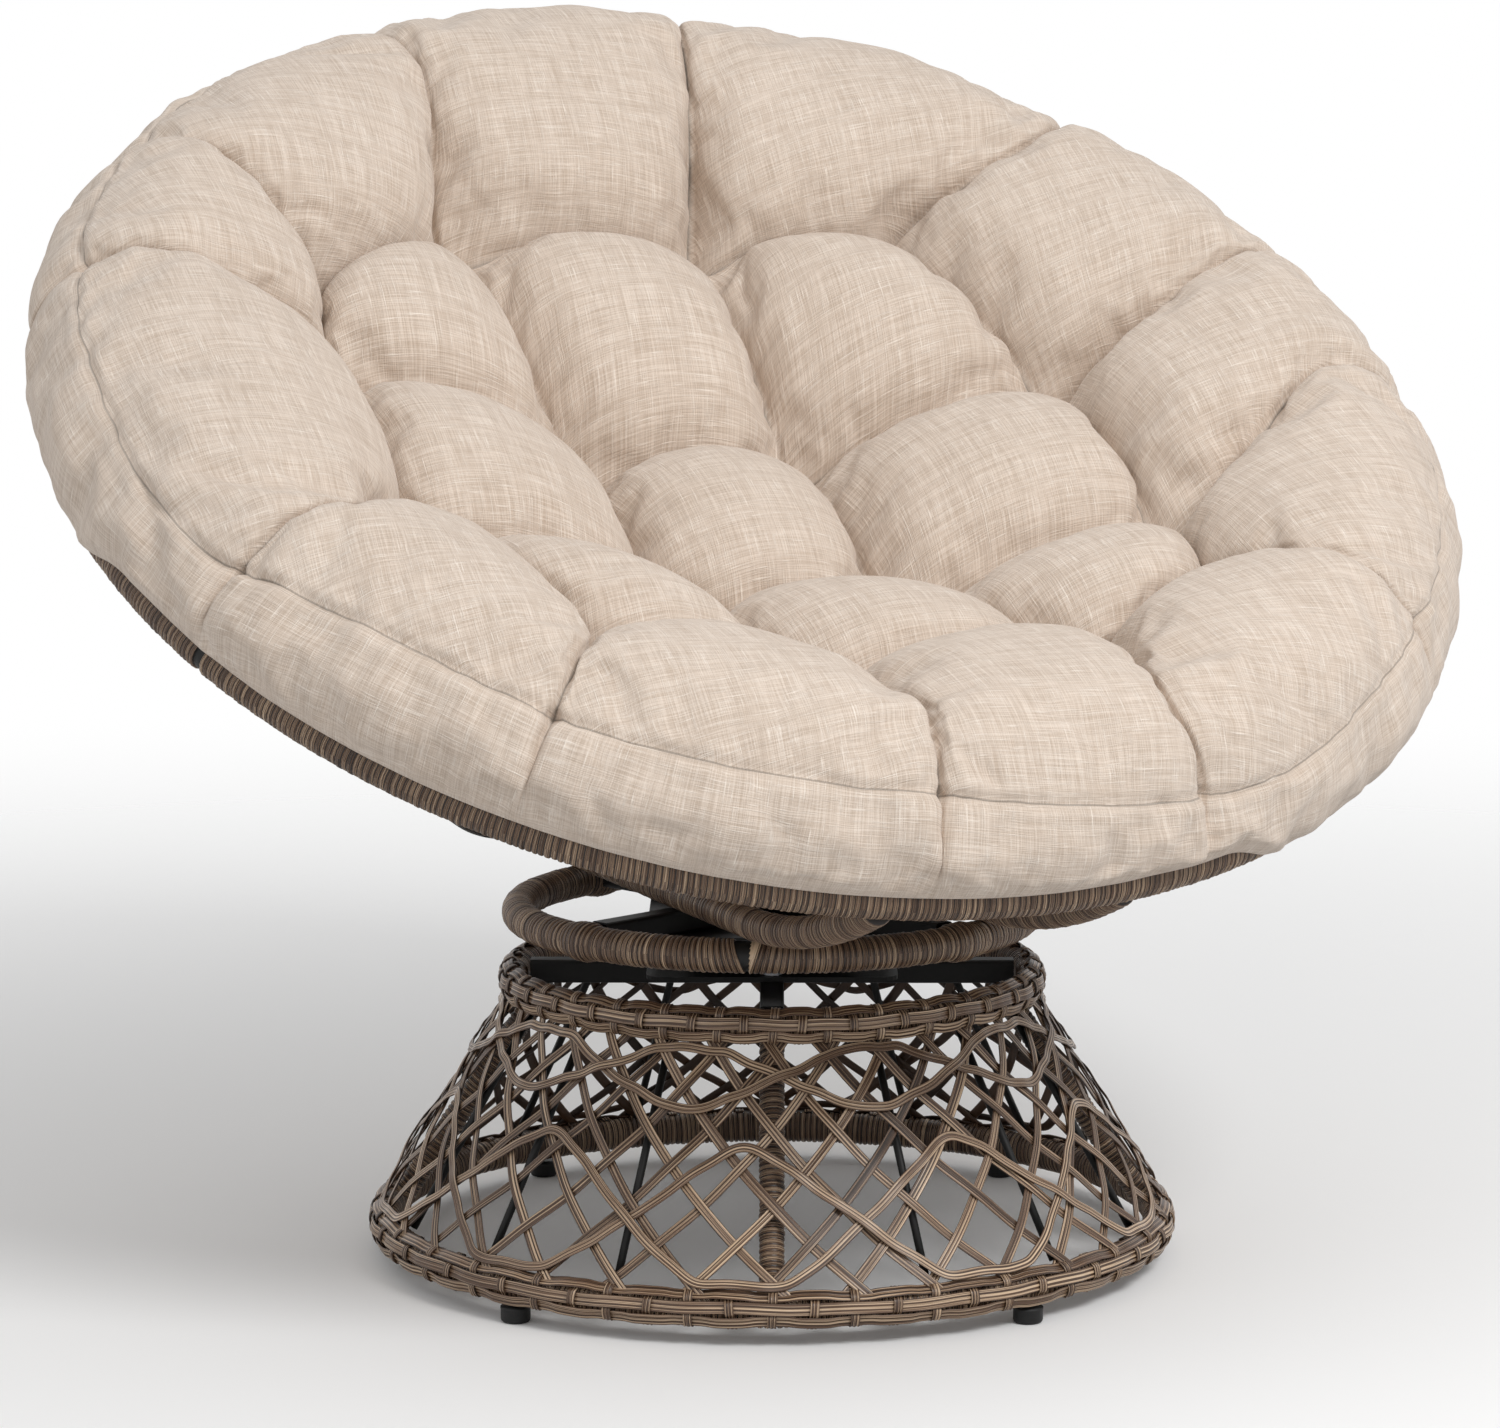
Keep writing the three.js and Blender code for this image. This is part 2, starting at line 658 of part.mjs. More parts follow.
// The runners: two tubes from the rim's front, down to the ring, level across it,
// and up to the rim's back. They lie outside the bowl's wall, clear of the cushion's underside.
function runnerPath(side) {
  const x = (side * runnerSpacing) / 2;
  const level = runnerHeight;
  const crossing = Math.sqrt(ringRadius ** 2 - x ** 2);
  const rimReach = Math.sqrt(rimRadius ** 2 - x ** 2);
  const skew = Math.abs(x) / rimReach;
  const rimFlat = rimTubeRadius * Math.cos(Math.PI / tubeSides);
  const standOff = rimFlat + clearance + skew * runnerTubeRadius;
  const outside = runnerTubeRadius - hoopTubeRadius;
  const wall = Math.asin(rimRadius / bowlRadius);
  const rimEnd = (way) => {
    const lean = wall + way * seatTilt;
    const downTheWall = new THREE.Vector3(0, -way * Math.cos(lean), -Math.sin(lean));
    const outward = new THREE.Vector3(0, way * Math.sin(lean), -Math.cos(lean));
    const place = new THREE.Vector3(
      x,
      rimSetback + way * rimReach * Math.cos(seatTilt),
      rimHeight + way * rimReach * Math.sin(seatTilt),
    );
    place.addScaledVector(downTheWall, standOff).addScaledVector(outward, outside);
    return { place, downTheWall };
  };
  const front = rimEnd(-1).place;
  const rear = rimEnd(1);
  const frontFoot = new THREE.Vector3(x, -crossing, level);
  const rearFoot = new THREE.Vector3(x, crossing, level);
  const frontTurn = new THREE.Vector3(x, (front.y - crossing) / 2, level);
  const rearBend = rear.place.clone()
    .addScaledVector(rear.downTheWall, (rear.place.z - level) * rearBendShare);
  const rearPull = rearFoot.clone().lerp(new THREE.Vector3(x, rear.place.y, level), rearPullShare);
  const path = new THREE.CurvePath();
  path.add(new THREE.QuadraticBezierCurve3(front, frontTurn, frontFoot));
  path.add(new THREE.LineCurve3(frontFoot, rearFoot));
  path.add(new THREE.CubicBezierCurve3(rearFoot, rearPull, rearBend, rear.place));
  return path;
}

function addRunners() {
  const runnerSteps = 26;
  const runnerSides = 8;
  ['left', 'right'].forEach((name, i) => {
    const path = runnerPath(i === 0 ? -1 : 1);
    const smooth = new THREE.CatmullRomCurve3(path.getSpacedPoints(runnerSteps));
    addPiece(seat, `bowl_${name}_runner`,
      tubeAlong(smooth, runnerTubeRadius, runnerSides, runnerSteps), wicker);
  });
}

// Cushion
// A round cushion sewn through at a grid of four by four tufts, placed by hand. Seams join the
// tufts. Nine puffs fill the grid between them, and twelve more run out over the edge roll.
// Its skin has rows of corners along every seam, and more of them beside the seams.

const tuftShares = [                   // of the edge roll's radius, from the back row to the front
  [[-0.617, 0.463], [-0.310, 0.625], [0.148, 0.630], [0.467, 0.561]],
  [[-0.647, 0.261], [-0.188, 0.208], [0.203, 0.199], [0.642, 0.163]],
  [[-0.651, -0.197], [-0.197, -0.223], [0.203, -0.253], [0.647, -0.274]],
  [[-0.475, -0.561], [-0.133, -0.638], [0.343, -0.621], [0.617, -0.497]],
];
const edgeSeamTurns = [13.5, 39.5, 78.5, 109.5, 141, 161, 203.5, 232, 262.5, 285.5, 318.5, 354]
  .map(THREE.MathUtils.degToRad);      // where the outer puffs' seams cross the edge roll
const creaseShares = [0, 0.13, 0.5, 0.87, 1];   // from seam to seam of a puff
const wallShares = [0.3, 0.6, 0.85];   // from the outer tufts to the roll's crest
const rollTurns = [112, 75, 40, 10, -6].map(THREE.MathUtils.degToRad);   // from the crest outward
const notchShares = [0.2, 0.3, 0.4, 0.5];   // of a turn round the rim's tube, on its corners
const undersideShares = [0.93, 0.66, 0.34];
const seamSlope = THREE.MathUtils.degToRad(30);    // how an outer puff leaves its tufts at a seam
const crownSlope = THREE.MathUtils.degToRad(84);   // and midway between two seams
const curveHandleShare = 0.43;
const archPower = 0.75;
const swellPower = 2.5;

const stepsInPuff = creaseShares.length - 1;
const puffsAcross = tuftShares.length - 1;
const gridSteps = stepsInPuff * puffsAcross;
const edgeSteps = 4 * gridSteps;
const edgeStart = (2 * fullTurn) / edgeSteps;   // the rim's corner nearest the first seam

// 0 at two neighbouring seams and 1 midway: how far a seam stands up between its tufts.
function arch(share) {
  return (1 - (2 * share - 1) ** 2) ** archPower;
}

// The same for a puff's skin between two seams, which is steep at the seams and flat midway.
function swell(share) {
  return Math.sqrt(1 - Math.abs(2 * share - 1) ** swellPower);
}

function puffPlace(row, column) {
  const i = Math.min(Math.floor(row / stepsInPuff), puffsAcross - 1);
  const j = Math.min(Math.floor(column / stepsInPuff), puffsAcross - 1);
  const down = creaseShares[row - i * stepsInPuff];
  const across = creaseShares[column - j * stepsInPuff];
  const tuft = (m, n) => {
    const [x, y] = tuftShares[m][n];
    const height = tuftRise * (Math.hypot(x, y) / outerTuftShare) ** 2 - tuftDepth;
    return new THREE.Vector3(rollRadius * x, rollRadius * y, height);
  };
  const place = tuft(i, j).lerp(tuft(i, j + 1), across)
    .lerp(tuft(i + 1, j).lerp(tuft(i + 1, j + 1), across), down);
  place.z += archHeight * (arch(down) + arch(across)) + swellHeight * swell(down) * swell(across);
  return place;
}

// Steps round the grid's edge, from the first outer seam and against the clock, as [row, column].
function edgeOfGrid(step) {
  const walked = (step + stepsInPuff * 2) % edgeSteps;
  const side = Math.floor(walked / gridSteps);
  const along = walked % gridSteps;
  return [
    [gridSteps - along, gridSteps], [0, gridSteps - along], [along, 0], [gridSteps, along],
  ][side];
}

function seamTurnAt(step) {
  const seam = Math.floor(step / stepsInPuff);
  const next = edgeSeamTurns[(seam + 1) % edgeSeamTurns.length];
  const here = edgeSeamTurns[seam];
  const ahead = next < here ? next + fullTurn : next;
  return THREE.MathUtils.lerp(here, ahead, creaseShares[step % stepsInPuff]);
}

function outerPuffRings() {
  const rings = [...wallShares, ...rollTurns].map(() => []);
  for (let step = 0; step < edgeSteps; step += 1) {
    const fullness = swell(creaseShares[step % stepsInPuff]);
    const inner = puffPlace(...edgeOfGrid(step));
    const seamTurn = seamTurnAt(step);
    const evenTurn = edgeStart + (fullTurn * step) / edgeSteps;
    let innerTurn = Math.atan2(inner.y, inner.x);
    innerTurn += fullTurn * Math.round((seamTurn - innerTurn) / fullTurn);
    const rollCorner = (turn) => {
      const fade = THREE.MathUtils.clamp((rollTurns[1] - turn) / (rollTurns[1] - rollTurns.at(-1)), 0, 1);
      const roundness = rollRoundness - rollPinch * (1 - fullness) * (1 - fade);
      return {
        radius: rollRadius + roundness * Math.cos(turn),
        height: rollLift + roundness * Math.sin(turn),
        turn: THREE.MathUtils.lerp(seamTurn, evenTurn, fade),
      };
    };
    const crest = rollCorner(rollTurns[0]);
    const start = new THREE.Vector2(Math.hypot(inner.x, inner.y), inner.z);
    const end = new THREE.Vector2(crest.radius, crest.height);
    const handle = start.distanceTo(end) * curveHandleShare;
    const leaving = THREE.MathUtils.lerp(seamSlope, crownSlope, fullness);
    const wall = new THREE.CubicBezierCurve(
      start,
      new THREE.Vector2(start.x + handle * Math.cos(leaving), start.y + handle * Math.sin(leaving)),
      new THREE.Vector2(end.x - handle * Math.sin(rollTurns[0]), end.y + handle * Math.cos(rollTurns[0])),
      end,
    );
    wallShares.forEach((share, i) => {
      const { x, y } = wall.getPoint(share);
      rings[i].push(onCircle(x, THREE.MathUtils.lerp(innerTurn, seamTurn, share), y));
    });
    rollTurns.forEach((turn, i) => {
      const corner = rollCorner(turn);
      rings[wallShares.length + i].push(onCircle(corner.radius, corner.turn, corner.height));
    });
  }
  return rings;
}

function evenRing(radius, height) {
  return Array.from({ length: edgeSteps }, (unused, step) => (
    onCircle(radius, edgeStart + (fullTurn * step) / edgeSteps, height)));
}

function addCushion() {
  const points = [];
  const triangles = [];
  const inGrid = (row, column) => row * (gridSteps + 1) + column;
  const addQuad = (a, b, c, d) => triangles.push([a, b, c], [a, c, d]);
  for (let row = 0; row <= gridSteps; row += 1) {
    for (let column = 0; column <= gridSteps; column += 1) {
      points.push(puffPlace(row, column));
      if (row < gridSteps && column < gridSteps) {
        const corner = inGrid(row, column);
        const below = inGrid(row + 1, column);
        addQuad(corner, below, below + 1, corner + 1);
      }
    }
  }
  const notch = rimTubeRadius + clearance / Math.cos(Math.PI / tubeSides);
  const rings = [
    ...outerPuffRings(),
    ...notchShares.map((share) => evenRing(
      rimRadius + notch * Math.cos(fullTurn * share),
      notch * Math.sin(fullTurn * share),
    )),
    ...undersideShares.map((share) => {
      const radius = rimRadius * share;
      return evenRing(radius, bowlCentreHeight - Math.sqrt(undersideRadius ** 2 - radius ** 2));
    }),
  ];
  const steps = Array.from({ length: edgeSteps }, (unused, step) => step);
  let inside = steps.map((step) => inGrid(...edgeOfGrid(step)));
  for (const ring of rings) {
    const outside = steps.map((step) => points.length + step);
    points.push(...ring);
    for (const step of steps) {
      const next = (step + 1) % edgeSteps;
      addQuad(inside[step], outside[step], outside[next], inside[next]);
    }
    inside = outside;
  }
  points.push(new THREE.Vector3(0, 0, cushionStandOff - bowlDepth));
  for (const step of steps) {
    triangles.push([inside[step], points.length - 1, inside[(step + 1) % edgeSteps]]);
  }
  addPiece(bowl, 'cushion', closedSkin(points, triangles), linen);
}

addBaseRings();
addUprights();
addFeet();
addLattice();
addBars();
addSwivel();
addSeatRing();
addRim();
addHoopAndSpokes();
addRunners();
addCushion();

export default chair;
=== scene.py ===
# %% [markdown]
# # A papasan chair in Blender
# The real chair has a round tufted cushion in a bowl of steel tube wound with resin wicker.
# The bowl sits on a ring that swivels on a drum of woven strands.
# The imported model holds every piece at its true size, and here each piece gets its looks.
# All sizes are metres. The floor is at height zero and the seat faces -Y.

# %% Load the frame
import json
import math

import bmesh
import bpy
import numpy as np
from mathutils import Matrix, Vector


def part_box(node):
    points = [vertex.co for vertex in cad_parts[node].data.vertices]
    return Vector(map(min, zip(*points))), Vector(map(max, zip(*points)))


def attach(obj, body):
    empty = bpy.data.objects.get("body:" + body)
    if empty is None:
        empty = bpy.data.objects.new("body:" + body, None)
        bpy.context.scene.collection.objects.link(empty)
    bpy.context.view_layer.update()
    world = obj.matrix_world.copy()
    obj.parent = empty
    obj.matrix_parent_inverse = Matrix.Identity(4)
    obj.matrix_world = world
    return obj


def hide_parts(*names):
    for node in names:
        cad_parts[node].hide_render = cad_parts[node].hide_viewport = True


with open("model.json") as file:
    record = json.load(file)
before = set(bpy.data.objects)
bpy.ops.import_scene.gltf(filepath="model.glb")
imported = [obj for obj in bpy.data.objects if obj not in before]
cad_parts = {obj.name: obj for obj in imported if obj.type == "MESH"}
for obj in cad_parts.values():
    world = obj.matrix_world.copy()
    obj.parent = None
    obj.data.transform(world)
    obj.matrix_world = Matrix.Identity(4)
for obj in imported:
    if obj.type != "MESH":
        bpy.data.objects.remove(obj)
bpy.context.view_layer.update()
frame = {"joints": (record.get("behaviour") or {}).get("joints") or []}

# %% [markdown]
# Three places carry all the others: the swivel's axis, the turn of the base under the seat,
# and the plane of the bowl's rim. The axis comes from the frame, and the rim's middle from its piece.

# %% Working frames
full_turn = 2 * math.pi
quarter_turn = math.pi / 2
seat_tilt = math.radians(30)
base_turn = math.radians(-24)


def middle_of(node):
    low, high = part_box(node)
    return (low + high) / 2


swivel_axis = Vector(frame["joints"][0]["pos_m"])
floor_point = Vector((swivel_axis.x, swivel_axis.y, 0))
base_frame = Matrix.Translation(floor_point) @ Matrix.Rotation(base_turn, 4, "Z")
seat_frame = Matrix.Translation(floor_point)
rim_middle = middle_of("bowl_rim")
bowl_frame = Matrix.Translation(rim_middle) @ Matrix.Rotation(seat_tilt, 4, "X")
print("swivel axis at", [round(v, 4) for v in swivel_axis], "rim at", [round(v, 3) for v in rim_middle])

# %% [markdown]
# The camera stands where the photograph was taken from: nearly four metres in front of the base,
# a metre up, with a long lens. A long lens keeps the near edge of the bowl from looking too large.

# %% Camera
camera_distance = 3.857
camera_height = 0.968
camera_down = math.radians(8.14)
camera_aside = 0.0044
lens_mm = 122.1
sensor_mm = 36

camera_data = bpy.data.cameras.new("camera")
camera_data.lens = lens_mm
camera_data.sensor_width = sensor_mm
camera = bpy.data.objects.new("camera", camera_data)
bpy.context.scene.collection.objects.link(camera)
camera.location = base_frame @ Vector((0, -camera_distance, camera_height))
camera.rotation_euler = (quarter_turn - camera_down, 0, base_turn + camera_aside)
bpy.context.scene.camera = camera
print("camera at", tuple(round(v, 3) for v in camera.location))

# %% [markdown]
# Shader maths reads best as plain arithmetic. One small class wraps a socket, so that
# `rib * 0.4 + 0.6` adds the two Math nodes by itself. The operators are the few that the finishes
# below use, with their mirror forms, so that `1 - mask` works too.

# %% A value on a surface


class Value:
    """A number or a colour that varies over a surface: one output socket of a node."""

    def __init__(self, nodes, socket):
        self.nodes = nodes
        self.socket = socket

    def maths(self, operation, *others):
        return self.nodes.node("ShaderNodeMath", {"operation": operation}, dict(enumerate((self, *others))))

    def __add__(self, other):
        return self.maths("ADD", other)

    def __sub__(self, other):
        return self.maths("SUBTRACT", other)

    def __rsub__(self, other):
        return self * -1 + other

    def __mul__(self, other):
        return self.maths("MULTIPLY", other)

    def __pow__(self, other):
        return self.maths("POWER", other)

    __radd__ = __add__
    __rmul__ = __mul__

    def clamped(self):
        return self.maths("MINIMUM", 1).maths("MAXIMUM", 0)

    def between(self, low, high):
        """0 under low, 1 over high, and smooth from one to the other."""
        return self.nodes.node("ShaderNodeMapRange", {"interpolation_type": "SMOOTHSTEP"},
                               {"Value": self, "From Min": low, "From Max": high})


# %% [markdown]
# Every other node comes from `NodeTree.node`, which takes the node's type, its settings, and what
# goes into its sockets. A material and the world behind the chair are both such trees. Colours go
# through Mix and Vector Math, because a Math node would turn them grey.

# %% Node trees


def set_stops(ramp, stops):
    while len(ramp.elements) < len(stops):
        ramp.elements.new(1)
    for element, (position, colour) in zip(ramp.elements, stops):
        element.position = position
        element.color = (*colour, 1)


class NodeTree:
    """The nodes of a material or of the world."""

    def __init__(self, owner):
        owner.use_nodes = True
        self.tree = owner.node_tree
        self.tree.nodes.clear()

    def node(self, kind, settings=None, inputs=None, output=0):
        node = self.tree.nodes.new(kind)
        for setting, value in (settings or {}).items():
            if setting == "stops":
                set_stops(node.color_ramp, value)
            else:
                setattr(node, setting, value)
        for socket, value in (inputs or {}).items():
            self.feed(node.inputs[socket], value)
        return Value(self, node.outputs[output]) if node.outputs else None

    def feed(self, socket, value):
        if isinstance(value, Value):
            self.tree.links.new(value.socket, socket)
        else:
            socket.default_value = value

    def seen_directly(self):
        """1 for what the camera sees, in a mirror and through glass too, and 0 for light on the chair."""
        camera_ray, glossy_ray, clear_ray = (self.node("ShaderNodeLightPath", None, None, f"Is {kind} Ray")
                                             for kind in ("Camera", "Glossy", "Transmission"))
        return camera_ray.maths("MAXIMUM", glossy_ray).maths("MAXIMUM", clear_ray)


# %% [markdown]
# A finish is a material with one shader. Its plain values are set on the shader's own sockets, and
# its patterns are made of the few kinds of node below.

# %% Finishes


class Finish(NodeTree):
    """A material, its shader, and the patterns that feed it."""

    def __init__(self, name, **shader_values):
        self.material = bpy.data.materials.new(name)
        super().__init__(self.material)
        shader = self.node("ShaderNodeBsdfPrincipled")
        self.node("ShaderNodeOutputMaterial", None, {0: shader})
        self.sockets = shader.socket.node.inputs
        self.wear(**shader_values)

    def wear(self, **inputs):
        """Feeds values to the shader: Base_Color, Roughness, Normal and the like."""
        for socket, value in inputs.items():
            self.feed(self.sockets[socket.replace("_", " ")], value)

    def ramp(self, value, stops):
        return self.node("ShaderNodeValToRGB", {"stops": stops}, {0: value})

    def blend(self, share, first, second):
        """A colour between two colours, each red, green and blue."""
        colours = {6: (*first, 1), 7: (*second, 1)}
        return self.node("ShaderNodeMix", {"data_type": "RGBA"}, {0: share, **colours}, 2)

    def shade(self, colour, factor):
        """A colour made darker or lighter by a factor, as strong in red as in blue."""
        return self.node("ShaderNodeVectorMath", {"operation": "SCALE"}, {0: colour, 3: factor})

    def bump(self, height, distance, strength):
        return self.node("ShaderNodeBump", None,
                         {"Height": height, "Distance": distance, "Strength": strength})

    def place(self, stretch=(1, 1, 1), start=None):
        """Places on the surface for a pattern: object coordinates unless a start is given."""
        if start is None:
            start = self.node("ShaderNodeTexCoord", None, None, "Object")
        return self.node("ShaderNodeMapping", None, {"Vector": start, "Scale": stretch})

    def noise(self, place, scale, detail=2.0, roughness=0.5):
        return self.node("ShaderNodeTexNoise", None,
                         {"Vector": place, "Scale": scale, "Detail": detail, "Roughness": roughness})


def from_screen(red, green, blue):
    """A colour as a screen shows it, 0 to 255, as linear light."""
    shares = (value / 255 for value in (red, green, blue))
    return tuple(s / 12.92 if s <= 0.04045 else ((s + 0.055) / 1.055) ** 2.4 for s in shares)


print("shader helpers ready")

# %% [markdown]
# All the pieces are worked out as arrays of points, in a working frame where they are simplest, and
# then carried to the chair. These helpers do the sums that come back in every piece.

# %% Points and meshes
tiny = 1e-9


def unit(vectors):
    lengths = np.linalg.norm(vectors, axis=-1, keepdims=True)
    return vectors / np.maximum(lengths, tiny)


def lerp(first, second, share):
    return first + (second - first) * share


def carried(points, frame_matrix):
    """Points moved from a working frame to the chair's own."""
    matrix = np.array(frame_matrix)
    return points @ matrix[:3, :3].T + matrix[:3, 3]


def build_mesh(name, points, faces, marks):
    """faces is a list of corner numbers for each face. marks has two numbers for each face corner."""
    mesh = bpy.data.meshes.new(name)
    mesh.from_pydata(points.tolist(), [], faces)
    layer = mesh.uv_layers.new(name="strand")
    layer.data.foreach_set("uv", marks.astype(np.float32).ravel())
    mesh.validate()
    mesh.polygons.foreach_set("use_smooth", [True] * len(mesh.polygons))
    return mesh


def put(name, shape, frame_matrix, finish, body, replaces=()):
    """Makes a piece of a shape's points, faces and marks, and says what it rides on and stands for."""
    points, faces, marks = shape
    mesh = build_mesh(name, carried(points, frame_matrix), faces, marks)
    piece = bpy.data.objects.new(name, mesh)
    bpy.context.scene.collection.objects.link(piece)
    mesh.materials.append(finish.material)
    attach(piece, body)
    if replaces:
        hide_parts(*replaces)
    return piece


def joined(parts):
    """Several (points, faces, marks) as one."""
    points, faces, marks = [], [], []
    count = 0
    for part_points, part_faces, part_marks in parts:
        points.append(part_points)
        faces.extend([[count + corner for corner in face] for face in part_faces])
        marks.append(part_marks)
        count += len(part_points)
    return np.concatenate(points), faces, np.concatenate(marks)


# %% [markdown]
# Nearly every piece of this chair is a strand or a tube: one outline carried along a path.
# A sweep takes the path's points, a direction across and a direction outward at each of them,
# and an outline that may change from point to point. It keeps two numbers on every face corner:
# how far along the winding it is, and how far round. The finishes draw their ribs from them.

# %% Sweep


def swept(centres, across, outward, outline, along, closed):
    """One outline carried along a path. outline is (rows or 1, sides, 2): across and outward offsets."""
    rows, sides = len(centres), outline.shape[1]
    outline = np.broadcast_to(outline, (rows, sides, 2))
    points = (centres[:, None] + across[:, None] * outline[..., :1] + outward[:, None] * outline[..., 1:])
    row = np.arange(rows if closed else rows - 1)
    side = np.arange(sides)
    here, right = np.meshgrid(row, side, indexing="ij")
    ahead, next_side = (here + 1) % rows, (right + 1) % sides
    quads = np.stack([here * sides + right, here * sides + next_side,
                      ahead * sides + next_side, ahead * sides + right], -1).reshape(-1, 4)
    run = np.append(along, along[-1] + along[1] - along[0]) if closed else along
    mark = [(run[here], right), (run[here], right + 1), (run[here + 1], right + 1), (run[here + 1], right)]
    marks = np.stack([np.stack([a, b / sides], -1) for a, b in mark], 2).reshape(-1, 2)
    faces = quads.tolist()
    if not closed:
        first, last = list(range(sides)), [(rows - 1) * sides + i for i in range(sides)]
        faces += [first[::-1], last]
        end_marks = [[along[0], 0]] * sides + [[along[-1], 0]] * sides
        marks = np.concatenate([marks, end_marks])
    return points.reshape(-1, 3), faces, marks


print("sweep ready")

# %% [markdown]
# Resin wicker is an extruded flat strand with fine ribs along it. Its colour runs from grey straw
# to dark brown, and changes a little along each strand, because the makers mix two resins.
# Painted shade darkens the grooves between the ribs, and the edges of each turn of a winding,
# so the ribs stand out light. The finish takes the rib from the distance across the strand, and the
# streaks from noise stretched along it. A second finish is for windings, where one strand goes
# round and round a tube: there the distance along the tube, counted in turns, gives both the
# place across the strand and the number that sets this turn's own tint. The odd factors only keep
# one strand's numbers well away from the next one's.

# %% Wicker finish
straw = from_screen(216, 189, 158)
hazel = from_screen(101, 73, 53)
umber = from_screen(24, 15, 10)
ribs_on_strand = 3
flat_sides, ribbed_sides = 16, 12        # round a flat strand, and over its ribs
streaks_to_the_metre = 5
streaks_across = 13
streak_share = 0.66                      # of a place's tint, the rest is the strand's and the rib's own
groove_depth = 0.0009


def wicker_finish(name, wound):
    finish = Finish(name, Metallic=0.0)
    mark = finish.node("ShaderNodeUVMap", {"uv_map": "strand"})
    along = finish.node("ShaderNodeSeparateXYZ", None, {0: mark}, "X")
    around = finish.node("ShaderNodeSeparateXYZ", None, {0: mark}, "Y")
    if wound:
        number = along.maths("FLOOR")
        across = along - number
        lengthwise = around * 0.1 + number * 0.1
    else:
        across = (around * (flat_sides / ribbed_sides)).clamped()
        lengthwise = along
        number = finish.node("ShaderNodeAttribute", {"attribute_name": "strand_number"}, None, "Fac")
    tint = finish.node("ShaderNodeTexWhiteNoise", {"noise_dimensions": "1D"}, {"W": number * 0.731 + 0.17})
    rib_number = (across * ribs_on_strand).maths("FLOOR")
    rib_tint = finish.node("ShaderNodeTexWhiteNoise", {"noise_dimensions": "1D"},
                           {"W": number * 0.377 + rib_number * 5.31 + 0.4})
    streak_place = finish.node("ShaderNodeCombineXYZ", None,
                               {0: lengthwise * streaks_to_the_metre,
                                1: across * streaks_across + number * 3.7, 2: number * 1.3})
    streak = finish.noise(streak_place, 1.0, detail=3.0, roughness=0.7)
    rib = (across * (full_turn * ribs_on_strand)).maths("COSINE") * -0.5 + 0.5
    # Painted shade: darker in the grooves between the ribs and, on a winding, at the edges of each turn.
    if wound:
        own_tint = tint * 0.30 + rib_tint * 0.16
        middle = 1 - ((across - 0.5) * 2).maths("ABSOLUTE")
        painted_groove_shade = middle.between(0.02, 0.40) * (rib * 0.25 + 0.75)
    else:
        own_tint = tint * 0.18 + rib_tint * 0.30
        painted_groove_shade = rib.between(0.0, 0.6) * 0.66 + 0.34
    light = ((streak.between(0.40, 0.60) * streak_share + own_tint - 0.06) * painted_groove_shade).clamped()
    colour = finish.ramp(light, [(0.0, umber), (0.46, hazel), (0.95, straw)])
    finish.wear(Base_Color=colour, Roughness=0.46 - light * 0.16,
                Normal=finish.bump(rib * 0.7 + streak * 0.3, groove_depth, 0.8))
    return finish


wound_wicker = wicker_finish("wound_wicker", wound=True)
flat_wicker = wicker_finish("flat_wicker", wound=False)
print("wicker of", ribs_on_strand, "ribs to the strand")

# %% [markdown]
# The bars, plates and hidden spokes are black powder-coated steel: satin, with a faint orange-peel
# texture. The feet are moulded black plastic, and the bolts are zinc plated.

# %% Black steel, zinc and plastic
clouds_to_the_metre = 18
cloud_tint = 0.2
cloud_roughness = 0.14


def plain_finish(name, colour, metallic, roughness, grains_to_the_metre, grain_depth):
    finish = Finish(name, Metallic=metallic, Specular_IOR_Level=0.5 if metallic else 0.3)
    peel = finish.noise(finish.place(), grains_to_the_metre)
    cloudy = finish.noise(finish.place(), clouds_to_the_metre, detail=3.0)
    darker = [c * (1 - cloud_tint) for c in colour]
    lighter = [c * (1 + cloud_tint) for c in colour]
    finish.wear(Base_Color=finish.blend(cloudy, darker, lighter),
                Roughness=cloudy * cloud_roughness + (roughness - cloud_roughness / 2),
                Normal=finish.bump(peel, grain_depth, 0.5))
    return finish


black_steel = plain_finish("black_powder_coat", (0.006, 0.0058, 0.0055), metallic=0, roughness=0.5,
                           grains_to_the_metre=900, grain_depth=0.0002)
zinc = plain_finish("zinc_plate", (0.56, 0.57, 0.6), metallic=1, roughness=0.34,
                    grains_to_the_metre=600, grain_depth=0.0001)
black_plastic = plain_finish("moulded_plastic", (0.012, 0.012, 0.012), metallic=0, roughness=0.55,
                             grains_to_the_metre=1400, grain_depth=0.0002)
print("finishes ready")

# %% [markdown]
# Tubes and strands both follow paths. A path is a row of points, set close together. These helpers
# measure a path and find places on it, and one makes the circle that every ring here starts from.

# %% Paths


def even_turns(steps):
    """Angles evenly round a full turn."""
    return full_turn * np.arange(steps) / steps


def round_axis(radius, height, angle):
    """Places at a radius, a height and an angle round the upright axis."""
    radius, height, angle = np.broadcast_arrays(radius, height, angle)
    return np.stack([radius * np.cos(angle), radius * np.sin(angle), height], -1)


def circle(radius, height=0.0, steps=720):
    return round_axis(radius, height, even_turns(steps))


def arc_lengths(points, closed):
    ends = np.roll(points, -1, axis=0) if closed else points[1:]
    starts = points if closed else points[:-1]
    return np.concatenate([[0], np.cumsum(np.linalg.norm(ends - starts, axis=1))])


